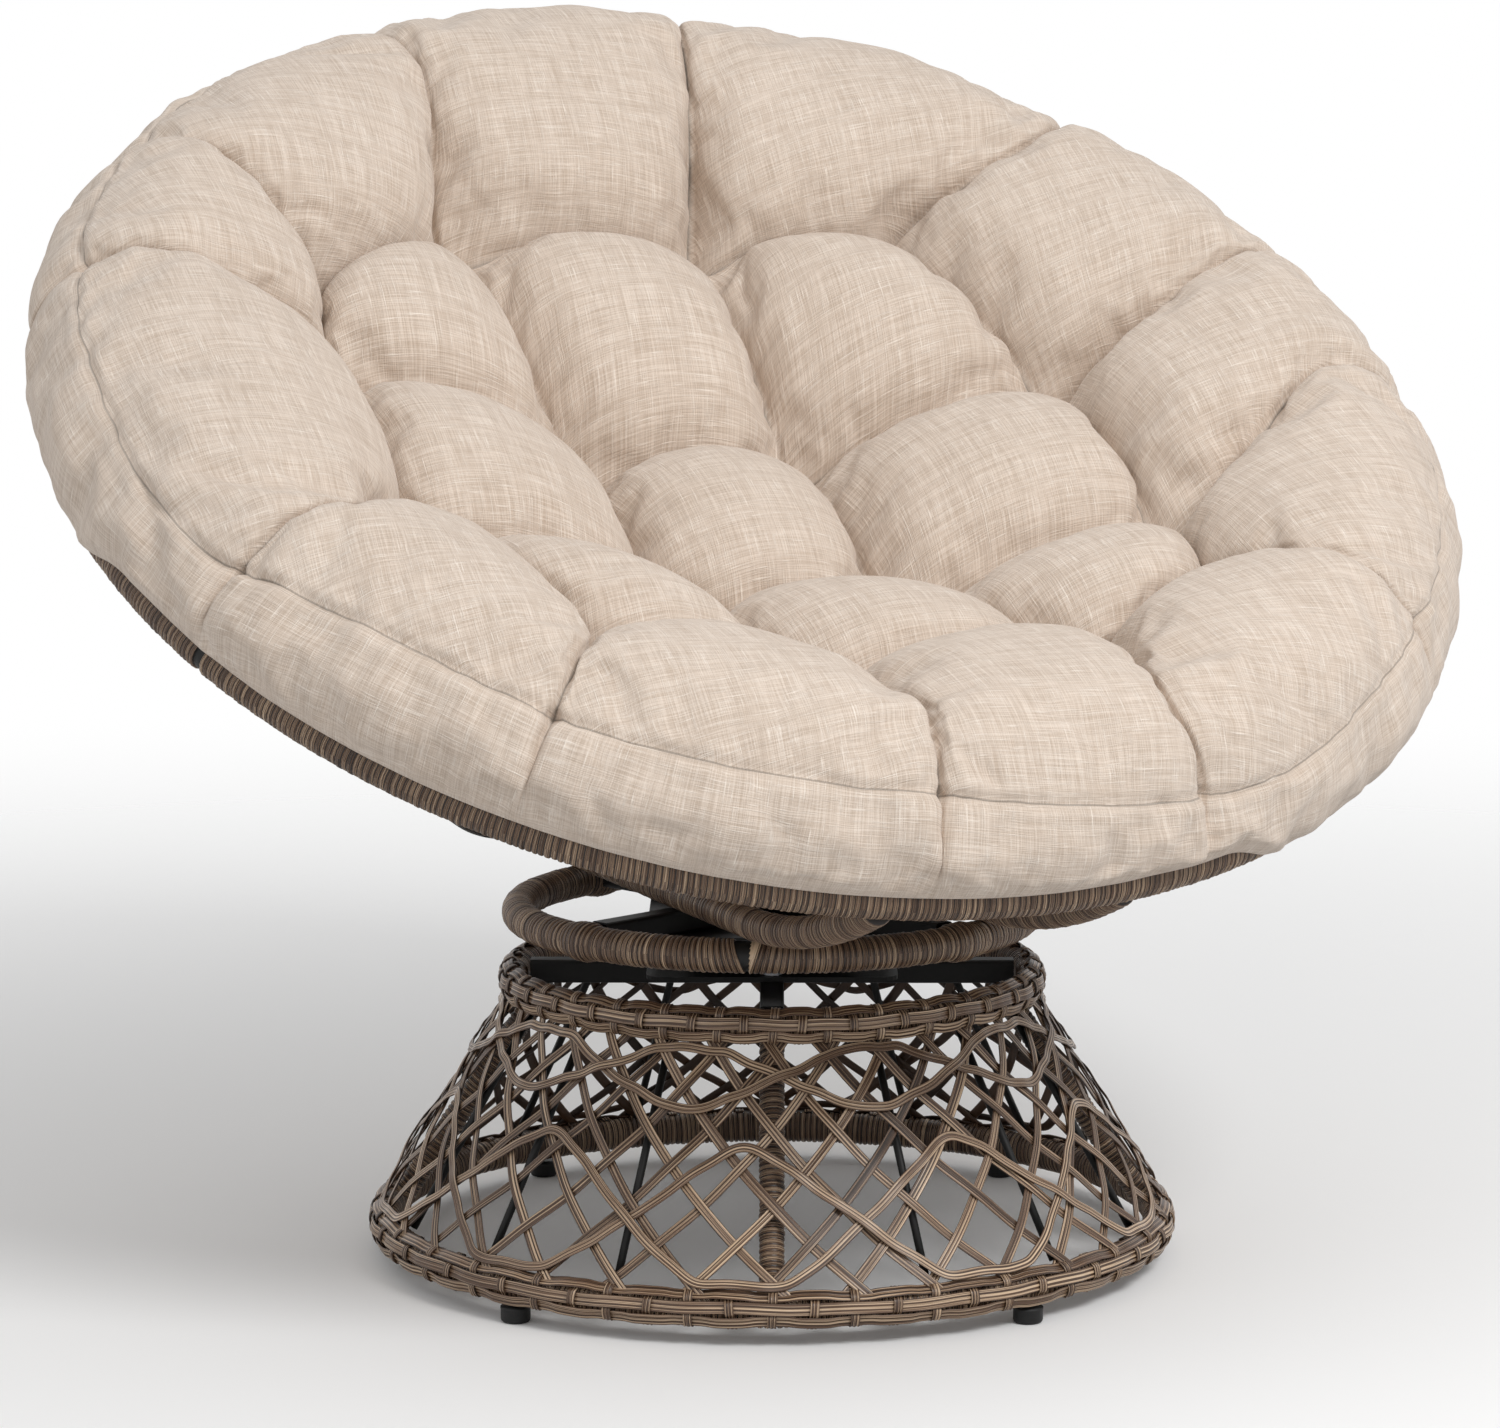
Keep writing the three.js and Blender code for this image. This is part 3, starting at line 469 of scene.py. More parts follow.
def along_path(points, closed, wanted):
    """Places and directions at wanted distances along a finely divided path."""
    runs = arc_lengths(points, closed)
    loop = np.vstack([points, points[:1]]) if closed else points
    if closed:
        wanted = np.mod(wanted, runs[-1])
    places = np.stack([np.interp(wanted, runs, loop[:, i]) for i in range(3)], -1)
    middles = (runs[1:] + runs[:-1]) / 2
    slopes = unit(np.diff(loop, axis=0))
    if closed:
        middles = np.concatenate([[middles[-1] - runs[-1]], middles, [middles[0] + runs[-1]]])
        slopes = np.vstack([slopes[-1:], slopes, slopes[:1]])
    directions = unit(np.stack([np.interp(wanted, middles, slopes[:, i]) for i in range(3)], -1))
    return places, directions


def frames_along(path, closed, wanted, plane_normal):
    """Places at wanted distances along a path, with the directions ahead, outward and off its plane."""
    places, directions = along_path(path, closed, wanted)
    normal = np.broadcast_to(np.array(plane_normal, float), directions.shape)
    return places, directions, unit(np.cross(directions, normal)), normal


def uneven(place, *swings):
    """A small uneven wander, the sum of a few waves. Each swing is (height, waves, start)."""
    return sum(height * np.sin(place * waves + start) for height, waves, start in swings)


def plain_tube(path, plane_normal, radius, rows, closed=False, sides=20):
    distance = np.linspace(0, arc_lengths(path, closed)[-1], rows, endpoint=not closed)
    centres, _, outward, normal = frames_along(path, closed, distance, plane_normal)
    angle = even_turns(sides)
    outline = radius * np.stack([np.cos(angle), np.sin(angle)], -1)[None]
    return swept(centres, outward, normal, outline, distance, closed)


print("path helpers ready")

# %% [markdown]
# A wound tube is one flat strand going round a steel tube, each turn laid against the last.
# The turns show as shallow scallops, so they are modelled: six rings of corners to a turn, low
# between turns and crowned over them. No two turns are alike. Each gets its own width and lift,
# and the whole winding leans a little one way and then the other, as it does when it is done by hand.

# %% Wound tubes
turn_pitch = 0.0044
strand_thickness = 0.0014
turn_steps = np.array([0.0, 0.1, 0.28, 0.5, 0.72, 0.9])
turn_crown = np.array([0.0, 0.62, 0.93, 1.0, 0.93, 0.62])
width_spread = 0.16            # of a turn's width, either way
lift_spread = 0.22             # of the strand's thickness, either way
hand_lean, hand_lean_waves = 0.0012, 9           # waves are in radians to the metre
small_lean, small_lean_waves = 0.00072, 23
lean_starts = 400              # times the tube's radius, so that no two sizes of tube lean alike
lean_steadies_over = 0.01
tube_shows_at = -0.005         # where the winding parts, its edges go down inside the bare tube
part_closes_over = 0.03
chance = np.random.default_rng(54)


def wound_tube(path, plane_normal, radius, closed=False, sides=18, flatten=(1, 1), swellings=(), splits=()):
    """swellings are (distance, reach, height). Where the winding parts, splits are (distance,
    half_width, slant), and a slant of 1 makes a V that is closed at the bottom."""
    length = arc_lengths(path, closed)[-1]
    turns = max(3, round(length / turn_pitch))
    widths = 1 + chance.uniform(-width_spread, width_spread, turns)
    starts = np.concatenate([[0], np.cumsum(widths)]) * length / widths.sum()
    lifts = chance.uniform(-lift_spread, lift_spread, turns) * strand_thickness
    distance, lift, number = [], [], []
    for turn in range(turns):
        for step, crown in zip(turn_steps, turn_crown):
            distance.append(starts[turn] + step * (starts[turn + 1] - starts[turn]))
            lift.append((crown - 1) * strand_thickness + crown * lifts[turn])
            number.append(turn + step)
    if not closed:
        distance.append(length)
        lift.append(-strand_thickness)
        number.append(turns)
    distance, lift, number = map(np.array, (distance, lift, number))
    for place, reach, height in swellings:
        lift = lift + height * np.exp(-((distance - place) / reach) ** 4)
    angle = even_turns(sides)
    wander = uneven(distance, (hand_lean, hand_lean_waves, radius * lean_starts),
                    (small_lean, small_lean_waves, 0))
    if not closed:
        wander *= np.clip(np.minimum(distance, length - distance) / lean_steadies_over, 0, 1)
    shift = wander[:, None] * np.cos(angle + 0.7)[None]
    for place, half_width, slant in splits:
        away = distance - place
        opening = half_width * (1 - slant * (0.5 - 0.5 * np.sin(angle)))[None]
        side = np.where(away < 0, -1, 1)
        shift = shift + (side * np.exp(-np.abs(away) / part_closes_over))[:, None] * opening
        edge = np.abs(away) <= np.sort(np.abs(away))[1]
        lift = np.where(edge, tube_shows_at, lift)
    centres, directions, outward, normal = frames_along(path, closed, distance, plane_normal)
    reach = (radius + lift)[:, None]
    outline = np.stack([reach * flatten[0] * np.cos(angle), reach * flatten[1] * np.sin(angle)], -1)
    points, faces, marks = swept(centres, outward, normal, outline, number, closed)
    slide = shift.reshape(-1, 1) * np.repeat(directions, sides, axis=0)
    return points + slide, faces, marks


print("each turn is", turn_pitch, "m wide")

# %% [markdown]
# The bowl's rim is the largest hoop, and the seat ring is the one that the bowl rests on.
# The ring's winding parts in a V over the weld where the left runner crosses it, and shows
# the black tube beneath. It swells where each arm meets the ring.

# %% Rim and seat ring
rim_tube_radius = 0.015
rim_bare_radius = 0.0134
rim_gap_angle = math.radians(203.3)
rim_gap = 0.004                          # half the width of what shows, like the V's
ring_tube_radius = 0.013
ring_bare_radius = 0.0112
weld_v = 0.009
arm_swell, arm_swell_reach = 0.0022, 0.011
bare_row = 0.01
runner_spacing = 0.19
rim_low, rim_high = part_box("bowl_rim")
rim_radius = (rim_high.x - rim_low.x) / 2 - rim_tube_radius
ring_low, ring_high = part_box("seat_ring")
ring_height = (ring_low.z + ring_high.z) / 2
ring_radius = (ring_high.x - ring_low.x) / 2 - ring_tube_radius


def put_bare_tube(name, hoop_radius, height, from_angle, to_angle, tube_radius, frame_matrix):
    """The short stretch of steel tube that shows where a hoop's winding parts."""
    path = round_axis(hoop_radius, height, np.linspace(from_angle, to_angle, 24))
    tube = plain_tube(path, (0, 0, 1), tube_radius, round(hoop_radius * (to_angle - from_angle) / bare_row))
    put(name, tube, frame_matrix, black_steel, "seat")


put("rim_winding",
    wound_tube(circle(rim_radius, steps=1440), (0, 0, 1), rim_tube_radius, closed=True,
               splits=[(rim_radius * rim_gap_angle, rim_gap, 0)]),
    bowl_frame, wound_wicker, "seat", ["bowl_rim"])
put_bare_tube("rim_bare_tube", rim_radius, 0, rim_gap_angle - 0.03, rim_gap_angle + 0.03,
              rim_bare_radius, bowl_frame)

crossing_angle = -math.acos(-runner_spacing / 2 / ring_radius)
crossing = ring_radius * (crossing_angle % full_turn)
arm_turns = [quarter_turn * (arm + 0.5) + base_turn for arm in range(4)]
swellings = [(ring_radius * (turn % full_turn), arm_swell_reach, arm_swell) for turn in arm_turns]
put("seat_ring_winding",
    wound_tube(circle(ring_radius, ring_height), (0, 0, 1), ring_tube_radius, closed=True,
               swellings=swellings, splits=[(crossing, weld_v, 1)]),
    seat_frame, wound_wicker, "seat", ["seat_ring"])
put_bare_tube("seat_ring_bare_tube", ring_radius, ring_height, crossing_angle - 0.1, crossing_angle + 0.1,
              ring_bare_radius, seat_frame)
print("rim radius", round(rim_radius, 3), "ring radius", round(ring_radius, 3), "at", round(ring_height, 3))

# %% [markdown]
# The rest of the base is basket work in loose flat strands. Each strand has three ribs along it.
# A strand follows a path, and an outward direction at each point keeps its ribbed side out.

# %% Flat strands
flat_thickness = 0.0016
groove_share, rib_share = 0.12, 0.38     # of the thickness: up to the grooves, and the ribs above them
plain_side_shares = [[-0.42, -0.5], [0, -0.5], [0.42, -0.5]]


def flat_outline(width, ribs=ribs_on_strand):
    """Round a flat strand, from one edge over its ribs to the other and back along its plain side."""
    across = np.linspace(1, -1, 4 * ribs + 1)
    ridge = np.abs(np.cos(quarter_turn * ribs * across)) ** 0.8
    top = np.stack([across * width / 2, flat_thickness * (groove_share + rib_share * ridge)], -1)
    under = np.array(plain_side_shares) * [width, flat_thickness]
    return np.concatenate([top, under])[None]


def flat_strand(centres, outward, outline, closed):
    if closed:
        steps = np.roll(centres, -1, axis=0) - np.roll(centres, 1, axis=0)
    else:
        steps = np.gradient(centres, axis=0)
    across = unit(np.cross(steps, outward))
    along = arc_lengths(centres, closed)[:len(centres)]
    return swept(centres, across, unit(outward), outline, along, closed)


def put_strands(name, strands, replaces=()):
    """Many strands of the base as one piece. Each keeps its number, which gives it its tint."""
    piece = put(name, joined(strands), base_frame, flat_wicker, "base", replaces)
    numbers = np.repeat(np.arange(len(strands), dtype=np.float32), [len(strand[0]) for strand in strands])
    layer = piece.data.attributes.new("strand_number", "FLOAT", "POINT")
    layer.data.foreach_set("value", numbers)


print("a flat strand is", flat_thickness, "m thick")

# %% [markdown]
# Each ring is woven over a core. Three rows of strand run round its outer side, and 64 short ties
# go across them, over one row and under the next. Next to a tie that goes over, its neighbours
# go under, so the ties stand in a brick pattern. The core shows inside and underneath, wound closely.

# %% Woven rings
fit = 0.0003                                # between pieces that touch
foot_height = 0.012
bottom_ring_radius, bottom_ring_width, bottom_ring_height = 0.310, 0.024, 0.028
top_ring_radius, top_ring_width, top_ring_height = 0.209, 0.022, 0.026
bottom_ring_top = foot_height + bottom_ring_height
top_ring_bottom = 0.200
weave_thickness = 0.0012
rows_on_ring = 3
first_row = -0.0062                         # up the section from its outermost point
row_width = row_pitch = 0.0093
row_wander, row_ripple = 0.0005, 0.0004
ties = 64
steps_to_a_tie = 10
tie_width = 0.0066
tie_reach = np.linspace(-0.9, 2.9, 40)      # in rows, from below the first to above the last
tuck_from, tuck_over = 1.45, 0.45           # in rows, from the middle one
tuck_depth = 0.0022
tie_lean = 0.0012
tie_shift = 0.0008
weave_swing = 0.0010
weave_lift = 0.0006
crest_sharpness = 2.2


class RingSection:
    """The section of a woven ring: places on it are told by the distance up from its outermost point."""

    def __init__(self, outer_radius, width, bottom, height):
        self.radius = outer_radius - width / 2
        self.middle = bottom + height / 2
        self.half_width = width / 2 - weave_thickness
        self.half_height = height / 2 - weave_thickness
        self.angle = np.linspace(-0.8 * math.pi, 0.8 * math.pi, 600)
        curve = np.stack([self.half_width * np.cos(self.angle), self.half_height * np.sin(self.angle)], -1)
        runs = arc_lengths(curve, False)
        self.runs = runs - np.interp(0, self.angle, runs)

    def place(self, distance, lift, turn):
        """Points and outward directions at a distance up the section, a lift off it and a turn."""
        distance, lift, turn = np.broadcast_arrays(distance, lift, turn)
        angle = np.interp(distance, self.runs, self.angle)
        normal = unit(np.stack([np.cos(angle) / self.half_width, np.sin(angle) / self.half_height], -1))
        radius = self.radius + self.half_width * np.cos(angle) + lift * normal[..., 0]
        height = self.middle + self.half_height * np.sin(angle) + lift * normal[..., 1]
        return round_axis(radius, height, turn), round_axis(normal[..., 0], normal[..., 1], turn)


def flattened(wave):
    """A wave that stays longer at its crests and changes quickly between them."""
    return np.tanh(crest_sharpness * wave) / math.tanh(crest_sharpness)


def ring_row(section, row):
    turn = even_turns(ties * steps_to_a_tie)
    swing = -weave_swing * flattened(np.cos(ties / 2 * turn + math.pi * row))
    wander = uneven(turn, (row_wander, 7, row), (row_ripple, 23, 2 * row))
    points, outward = section.place(first_row + row * row_pitch + wander,
                                    weave_lift + weave_swing + swing, turn)
    return flat_strand(points, outward, flat_outline(row_width), closed=True)


def ring_tie(section, tie):
    over = weave_swing * flattened(np.cos(math.pi * (tie + tie_reach)))
    tucked = tuck_depth * np.clip(np.abs(tie_reach - 1) - tuck_from, 0, 1) / tuck_over
    lean, shift = (chance.uniform(-most, most) / section.radius for most in (tie_lean, tie_shift))
    turn = full_turn * tie / ties + shift + lean * tie_reach
    points, outward = section.place(first_row + tie_reach * row_pitch,
                                    weave_lift + weave_swing + over - tucked, turn)
    return flat_strand(points, outward, flat_outline(tie_width, ribs=2), closed=False)


def woven_ring(name, section):
    core = wound_tube(circle(section.radius, section.middle), (0, 0, 1), section.half_height, closed=True,
                      flatten=(section.half_width / section.half_height, 1), sides=22)
    put(f"{name}_core", core, base_frame, wound_wicker, "base", [f"base_{name}"])
    strands = [ring_row(section, row) for row in range(rows_on_ring)]
    strands += [ring_tie(section, tie) for tie in range(ties)]
    put_strands(f"{name}_weave", strands)


woven_ring("bottom_ring",
           RingSection(bottom_ring_radius, bottom_ring_width, foot_height, bottom_ring_height))
woven_ring("top_ring",
           RingSection(top_ring_radius, top_ring_width, top_ring_bottom, top_ring_height))
print("woven rings with", ties, "ties each")

# %% [markdown]
# Between the rings lies the net: 32 strands lean one way and 32 the other, round a cone.
# Each goes over and under by turns. Nobody pulls 64 strands equally tight, so their ends
# are shifted a little and each bows a little.

# %% Net
cone_top = top_ring_bottom - fit
cone_bottom = bottom_ring_top + fit
top_inset, bottom_inset = 0.0035, 0.007
cone_top_radius = top_ring_radius - top_inset
cone_bottom_radius = bottom_ring_radius - bottom_inset
cone_run = cone_bottom_radius - cone_top_radius
cone_drop = cone_top - cone_bottom
cone_slant = math.hypot(cone_run, cone_drop)
strands_each_way = 32
net_rows = 6
binding = 0.005
row_drop = (cone_slant - 2 * binding) / net_rows
half_step = math.pi / strands_each_way
net_width = 0.0078
least_width_share, most_width_share = 0.92, 1.06
net_swing = 0.0011
net_depth = -0.0015
end_tuck = 0.009
end_shift = 0.0132             # as an angle round the cone, like the bow
strand_bow = 0.0088
strand_tilt = 0.12


def on_cone(angle, slant, out):
    """Points and outward directions on the net's cone, at a slant distance down from the top ring."""
    angle, slant, out = np.broadcast_arrays(angle, slant, out)
    outward = round_axis(cone_drop, cone_run, angle) / cone_slant
    radius = cone_top_radius + cone_run * slant / cone_slant
    height = cone_top - cone_drop * slant / cone_slant
    return round_axis(radius, height, angle) + outward * out[..., None], outward


def net_strand(number, way):
    slant = np.linspace(-end_tuck, cone_slant + end_tuck, 72)
    share_down = slant / cone_slant
    row = (slant - binding) / row_drop
    shift = lerp(*chance.uniform(-end_shift, end_shift, 2), share_down)
    bow = chance.uniform(-strand_bow, strand_bow) * np.sin(math.pi * share_down)
    angle = half_step * (2 * number + way * row) + shift + bow
    points, outward = on_cone(angle, slant, net_depth + way * net_swing * np.cos(math.pi * row))
    tilt = chance.uniform(-strand_tilt, strand_tilt)
    sideways = unit(np.cross(np.gradient(points, axis=0), outward))
    outline = flat_outline(net_width * chance.uniform(least_width_share, most_width_share))
    return flat_strand(points, unit(outward + tilt * sideways), outline, closed=False)


net = [net_strand(number, way) for way in (1, -1) for number in range(strands_each_way)]
put_strands("net", net, ["base_lattice"])
print("net of", len(net), "strands")

# %% [markdown]
# Wavy strands run round the net: tall arches up from the bottom ring, and low loops down from the
# top one. Each wave is two strands laid one arch apart, so their legs cross.

# %% Waves
wave_count = 10
wave_spacing = full_turn / wave_count
wave_width = 0.0074
wave_margin = 0.0038
wave_wander, wave_ripple = 0.0007, 0.0006
wave_stand_off, wave_flutter = 0.0016, 0.0004
steps_to_an_arch = 96
wave_overlap = 0.0022
overlap_reach = 0.055                         # as an angle round the cone
crest_roundness, end_roundness = 0.12, 0.05   # in arches: how softly a leg bends at either end
leg_run = 0.70                                # in arches, from the top to where it lies along its ring
lower_peak_share = 0.42
upper_trough_share = 0.27
lower_turn = math.radians(13.8)
upper_turn = math.radians(1.7)


def wave_swing(angle):
    """How far a wavy strand is from its ring: 1 at an arch's top, 0 where it lies along the ring."""
    share = np.abs((angle / wave_spacing + 1) % 2 - 1)
    fall = (np.hypot(share, crest_roundness) - crest_roundness) / leg_run
    return (1 - fall + np.hypot(1 - fall, end_roundness)) / 2


def wave(name, slant_at_ring, reach, turn, node):
    """Two strands, one arch apart. Where their legs cross, they take turns to lie on top."""
    strands = []
    angle = even_turns(wave_count * steps_to_an_arch)
    for number in range(2):
        crossing = np.abs((angle / wave_spacing - 0.5 - number + 1) % 2 - 1) * wave_spacing
        over = wave_overlap * np.exp(-(crossing / overlap_reach) ** 2)
        stand_off = wave_stand_off + uneven(angle, (wave_flutter, 64, 0)) + over
        loose = uneven(angle, (wave_wander, 17, number), (wave_ripple, 41, 1))
        slant = slant_at_ring + reach * wave_swing(angle - number * wave_spacing) + loose
        points, outward = on_cone(angle + turn, slant, stand_off)
        strands.append(flat_strand(points, outward, flat_outline(wave_width), closed=True))
    put_strands(name, strands, [node])


lower_reach = cone_slant * (1 - lower_peak_share) - wave_margin
upper_reach = cone_slant * upper_trough_share - wave_margin
wave("lower_wave", cone_slant - wave_margin, -lower_reach, lower_turn, "base_lower_wave_strand")
wave("upper_wave", wave_margin, upper_reach, upper_turn, "base_upper_wave_strand")
print("waves of", wave_count, "arches")

# %% [markdown]
# Four wound legs carry the bars. Three thin black rods stand between each pair of legs.

# %% Legs and rods
leg_radius = 0.0095
leg_bottom_radius, leg_top_radius = 0.2857, 0.173        # out from the chair's axis, like the rods'
leg_top = 0.2077
rod_radius = 0.003
rod_bottom_radius, rod_top_radius = 0.29275, 0.1965
spaces_round = 16


def post(turn, bottom_radius, top_radius, top):
    """A straight path from the bottom ring up and inward."""
    share = np.linspace(0, 1, 24)
    radius = lerp(bottom_radius, top_radius, share)
    height = lerp(bottom_ring_top + fit, top, share)
    return round_axis(radius, height, turn)


def sideways_of(turn):
    return (-math.sin(turn), math.cos(turn), 0)


for leg, turn in enumerate(even_turns(4), 1):
    path = post(turn, leg_bottom_radius, leg_top_radius, leg_top)
    put(f"wound_leg_{leg}", wound_tube(path, sideways_of(turn), leg_radius, sides=16),
        base_frame, wound_wicker, "base", [f"base_leg_{leg}"])
rod_turns = [turn for space, turn in enumerate(even_turns(spaces_round)) if space % 4]
for rod, turn in enumerate(rod_turns, 1):
    path = post(turn, rod_bottom_radius, rod_top_radius, top_ring_bottom - fit)
    put(f"round_rod_{rod}", plain_tube(path, sideways_of(turn), rod_radius, sides=14, rows=3),
        base_frame, black_steel, "base", [f"base_rod_{rod:02d}"])
print("4 legs and", len(rod_turns), "rods")

# %% [markdown]
# The feet are moulded caps under the bottom ring. Their outline, with its rounded lower edge and
# the step near the top, is turned round the upright.

# %% Feet
foot_profile = [(0.0086, 0.0), (0.0097, 0.0004), (0.0106, 0.0013), (0.011, 0.0026), (0.011, 0.0098),
                (0.0112, 0.0102), (0.0112, 0.0117)]


def lathe(profile, sides=40):
    """A profile of (radius, height) turned round the upright, closed at both ends."""
    rows = [circle(radius, height, sides) for radius, height in profile]
    faces = [[here * sides + side, here * sides + (side + 1) % sides,
              (here + 1) * sides + (side + 1) % sides, (here + 1) * sides + side]
             for here in range(len(rows) - 1) for side in range(sides)]
    lid = list(range(sides))
    faces += [lid[::-1], [(len(rows) - 1) * sides + side for side in lid]]
    marks = np.zeros((sum(len(face) for face in faces), 2))
    return np.concatenate(rows), faces, marks


for foot in range(1, 5):
    centre = middle_of(f"base_foot_{foot}")
    put(f"moulded_foot_{foot}", lathe(foot_profile), Matrix.Translation((centre.x, centre.y, 0)),
        black_plastic, "base", [f"base_foot_{foot}"])
print("4 feet of", round(1000 * foot_profile[-1][1], 1), "mm")

# %% [markdown]
# Under the cushion the bowl is a hoop and eight spokes of bare black tube, bent to a ball's shape.
# A curve object with a round bevel would do as well, but one sweep for bare and wound tubes keeps
# the script short.

# %% Bowl frame
bowl_depth = 0.24
bowl_radius = (rim_radius ** 2 + bowl_depth ** 2) / (2 * bowl_depth)
bowl_centre_height = bowl_radius - bowl_depth
hoop_radius = 0.235
hoop_tube_radius = 0.007
spoke_tube_radius = 0.006
spoke_count = 8

hoop_drop = math.sqrt(bowl_radius ** 2 - hoop_radius ** 2) - bowl_centre_height
hoop = plain_tube(circle(hoop_radius, -hoop_drop), (0, 0, 1), hoop_tube_radius, rows=160, closed=True)
put("round_hoop", hoop, bowl_frame, black_steel, "seat", ["bowl_hoop"])
from_angle = math.asin(hoop_radius / bowl_radius) + (hoop_tube_radius + fit) / bowl_radius
to_angle = math.asin(rim_radius / bowl_radius) - (rim_tube_radius + fit) / bowl_radius
along = np.linspace(from_angle, to_angle, 28)
reach, height = bowl_radius * np.sin(along), bowl_centre_height - bowl_radius * np.cos(along)
for spoke, turn in enumerate(even_turns(spoke_count), 1):
    tube = plain_tube(round_axis(reach, height, turn), sideways_of(turn), spoke_tube_radius, rows=28)
    put(f"round_spoke_{spoke}", tube, bowl_frame, black_steel, "seat",
        [f"bowl_spoke_{spoke}"])
print("hoop and", spoke_count, "spokes,", round(hoop_drop, 3), "m under the rim")

# %% [markdown]
# Two wound runners carry the bowl. Each starts under the rim's front, comes down to the seat ring,
# lies level across it and rises behind to the rim's back. The level part is straight, and Bezier
# curves join it to the rim, because a bent tube has no sudden corners.

# %% Runners
runner_tube_radius = 0.012
rear_bend_share = 0.42               # how far the rear Bezier's controls reach: down from the rim
rear_pull_share = 0.55               # and back along the ring's height
rim_setback = rim_middle.y - swivel_axis.y
rim_section_sides = 10               # of the model's rim, on a flat of which each runner ends
rim_flat = rim_tube_radius * math.cos(math.pi / rim_section_sides)


def bezier(controls, steps):
    """A curve of any number of control points, at evenly spaced shares. Rows of points make many curves."""
    controls = [np.array(control) for control in controls]
    share = np.linspace(0, 1, steps).reshape(steps, *[1] * controls[0].ndim)
    order = len(controls) - 1
    return sum(math.comb(order, i) * share ** i * (1 - share) ** (order - i) * control
               for i, control in enumerate(controls))


def runner_path(side):
    x = side * runner_spacing / 2
    level = ring_height + ring_tube_radius + fit + runner_tube_radius
    crossing = math.sqrt(ring_radius ** 2 - x ** 2)
    rim_reach = math.sqrt(rim_radius ** 2 - x ** 2)
    stand_off = rim_flat + fit + abs(x) / rim_reach * runner_tube_radius
    wall = math.asin(rim_radius / bowl_radius)

    def rim_end(way):
        lean = wall + way * seat_tilt
        down_the_wall = np.array([0, -way * math.cos(lean), -math.sin(lean)])
        outward = np.array([0, way * math.sin(lean), -math.cos(lean)])
        place = np.array([x, rim_setback + way * rim_reach * math.cos(seat_tilt),
                          rim_middle.z + way * rim_reach * math.sin(seat_tilt)])
        end = place + down_the_wall * stand_off + outward * (runner_tube_radius - hoop_tube_radius)
        return end, down_the_wall

    front = rim_end(-1)[0]
    rear, down_the_wall = rim_end(1)
    front_foot = np.array([x, -crossing, level])
    rear_foot = np.array([x, crossing, level])
    front_turn = np.array([x, (front[1] - crossing) / 2, level])
    rear_bend = rear + down_the_wall * (rear[2] - level) * rear_bend_share
    rear_pull = lerp(rear_foot, np.array([x, rear[1], level]), rear_pull_share)
    return np.concatenate([bezier([front, front_turn, front_foot], 60)[:-1],
                           np.linspace(front_foot, rear_foot, 40)[:-1],
                           bezier([rear_foot, rear_pull, rear_bend, rear], 120)])


for side, name in ((-1, "left"), (1, "right")):
    put(f"{name}_runner_winding", wound_tube(runner_path(side), (1, 0, 0), runner_tube_radius),
        seat_frame, wound_wicker, "seat", [f"bowl_{name}_runner"])
print("runners cross the ring at", round(ring_height + ring_tube_radius + runner_tube_radius, 3))

# %% [markdown]
# The bars, arms, plates, cups, balls and bolts keep their modelled shape. They are steel parts,
# true to size as they are, and only need their finish.

# %% Finishes on the steel parts
steel_parts = ["base_cross_bar", "base_front_bar", "base_rear_bar",
               "seat_ring_long_arm", "seat_ring_left_arm", "seat_ring_right_arm",
               "swivel_lower_plate", "swivel_upper_plate", "swivel_lower_cup", "swivel_upper_cup"]
zinc_parts = [f"swivel_{level}_bolt_{bolt}" for level in ("lower", "upper") for bolt in range(1, 5)]
zinc_parts.append("swivel_ball_ring")
for names, finish in ((steel_parts, black_steel), (zinc_parts, zinc)):
    for name in names:
        mesh = bpy.data.objects[name].data
        mesh.materials.clear()
        mesh.materials.append(finish.material)
print(len(steel_parts), "black and", len(zinc_parts), "zinc parts")

# %% [markdown]
# The cushion is one big round pad, sewn right through at sixteen places. The tufts are placed by
# hand, so no two puffs are alike: nine lie in the dish, and twelve longer ones run over the edge.
# Its cover is cut as a round top, a band round the edge and a round bottom.
# It is modelled puff by puff, so that every seam lies on an edge of the mesh. Each puff is a grid
# between four corners. It is low and sharp at its tufts, arches between them, and swells in the middle.
# Then the cover is simulated as cloth with air inside it, held at the seams, which pulls it
# into the small folds that no formula gives.

# %% Places of the tufts
tuft_rows = [
    [(-0.288, 0.216), (-0.145, 0.292), (0.069, 0.294), (0.218, 0.262)],
    [(-0.302, 0.122), (-0.088, 0.097), (0.095, 0.093), (0.300, 0.076)],
    [(-0.304, -0.092), (-0.092, -0.104), (0.095, -0.118), (0.302, -0.128)],
    [(-0.222, -0.262), (-0.062, -0.298), (0.160, -0.290), (0.288, -0.232)],
]
edge_order = [(1, 3), (0, 3), (0, 2), (0, 1), (0, 0), (1, 0),
              (2, 0), (3, 0), (3, 1), (3, 2), (3, 3), (2, 3)]
edge_tufts = [tuft_rows[row][column] for row, column in edge_order]
edge_seam_degrees = (13.5, 39.5, 78.5, 109.5, 141, 161, 203.5, 232, 262.5, 285.5, 318.5, 354)
edge_seam_angles = [math.radians(angle) for angle in edge_seam_degrees]
dish_depth = 0.135
dish_rise, dish_radius = 0.112, 0.33         # the tufts lie this much higher at this radius
print(4 * len(tuft_rows), "tufts,", len(edge_tufts), "of them at the edge")

# %% [markdown]
# A puff is the cloth over four tufts. A subdivided box would give the same soft square everywhere.
# Here each puff is worked out from its corners, so one that is long or narrow bulges as it should.
# First its corners are joined evenly, and then the arches of its four seams and its own swelling are added.

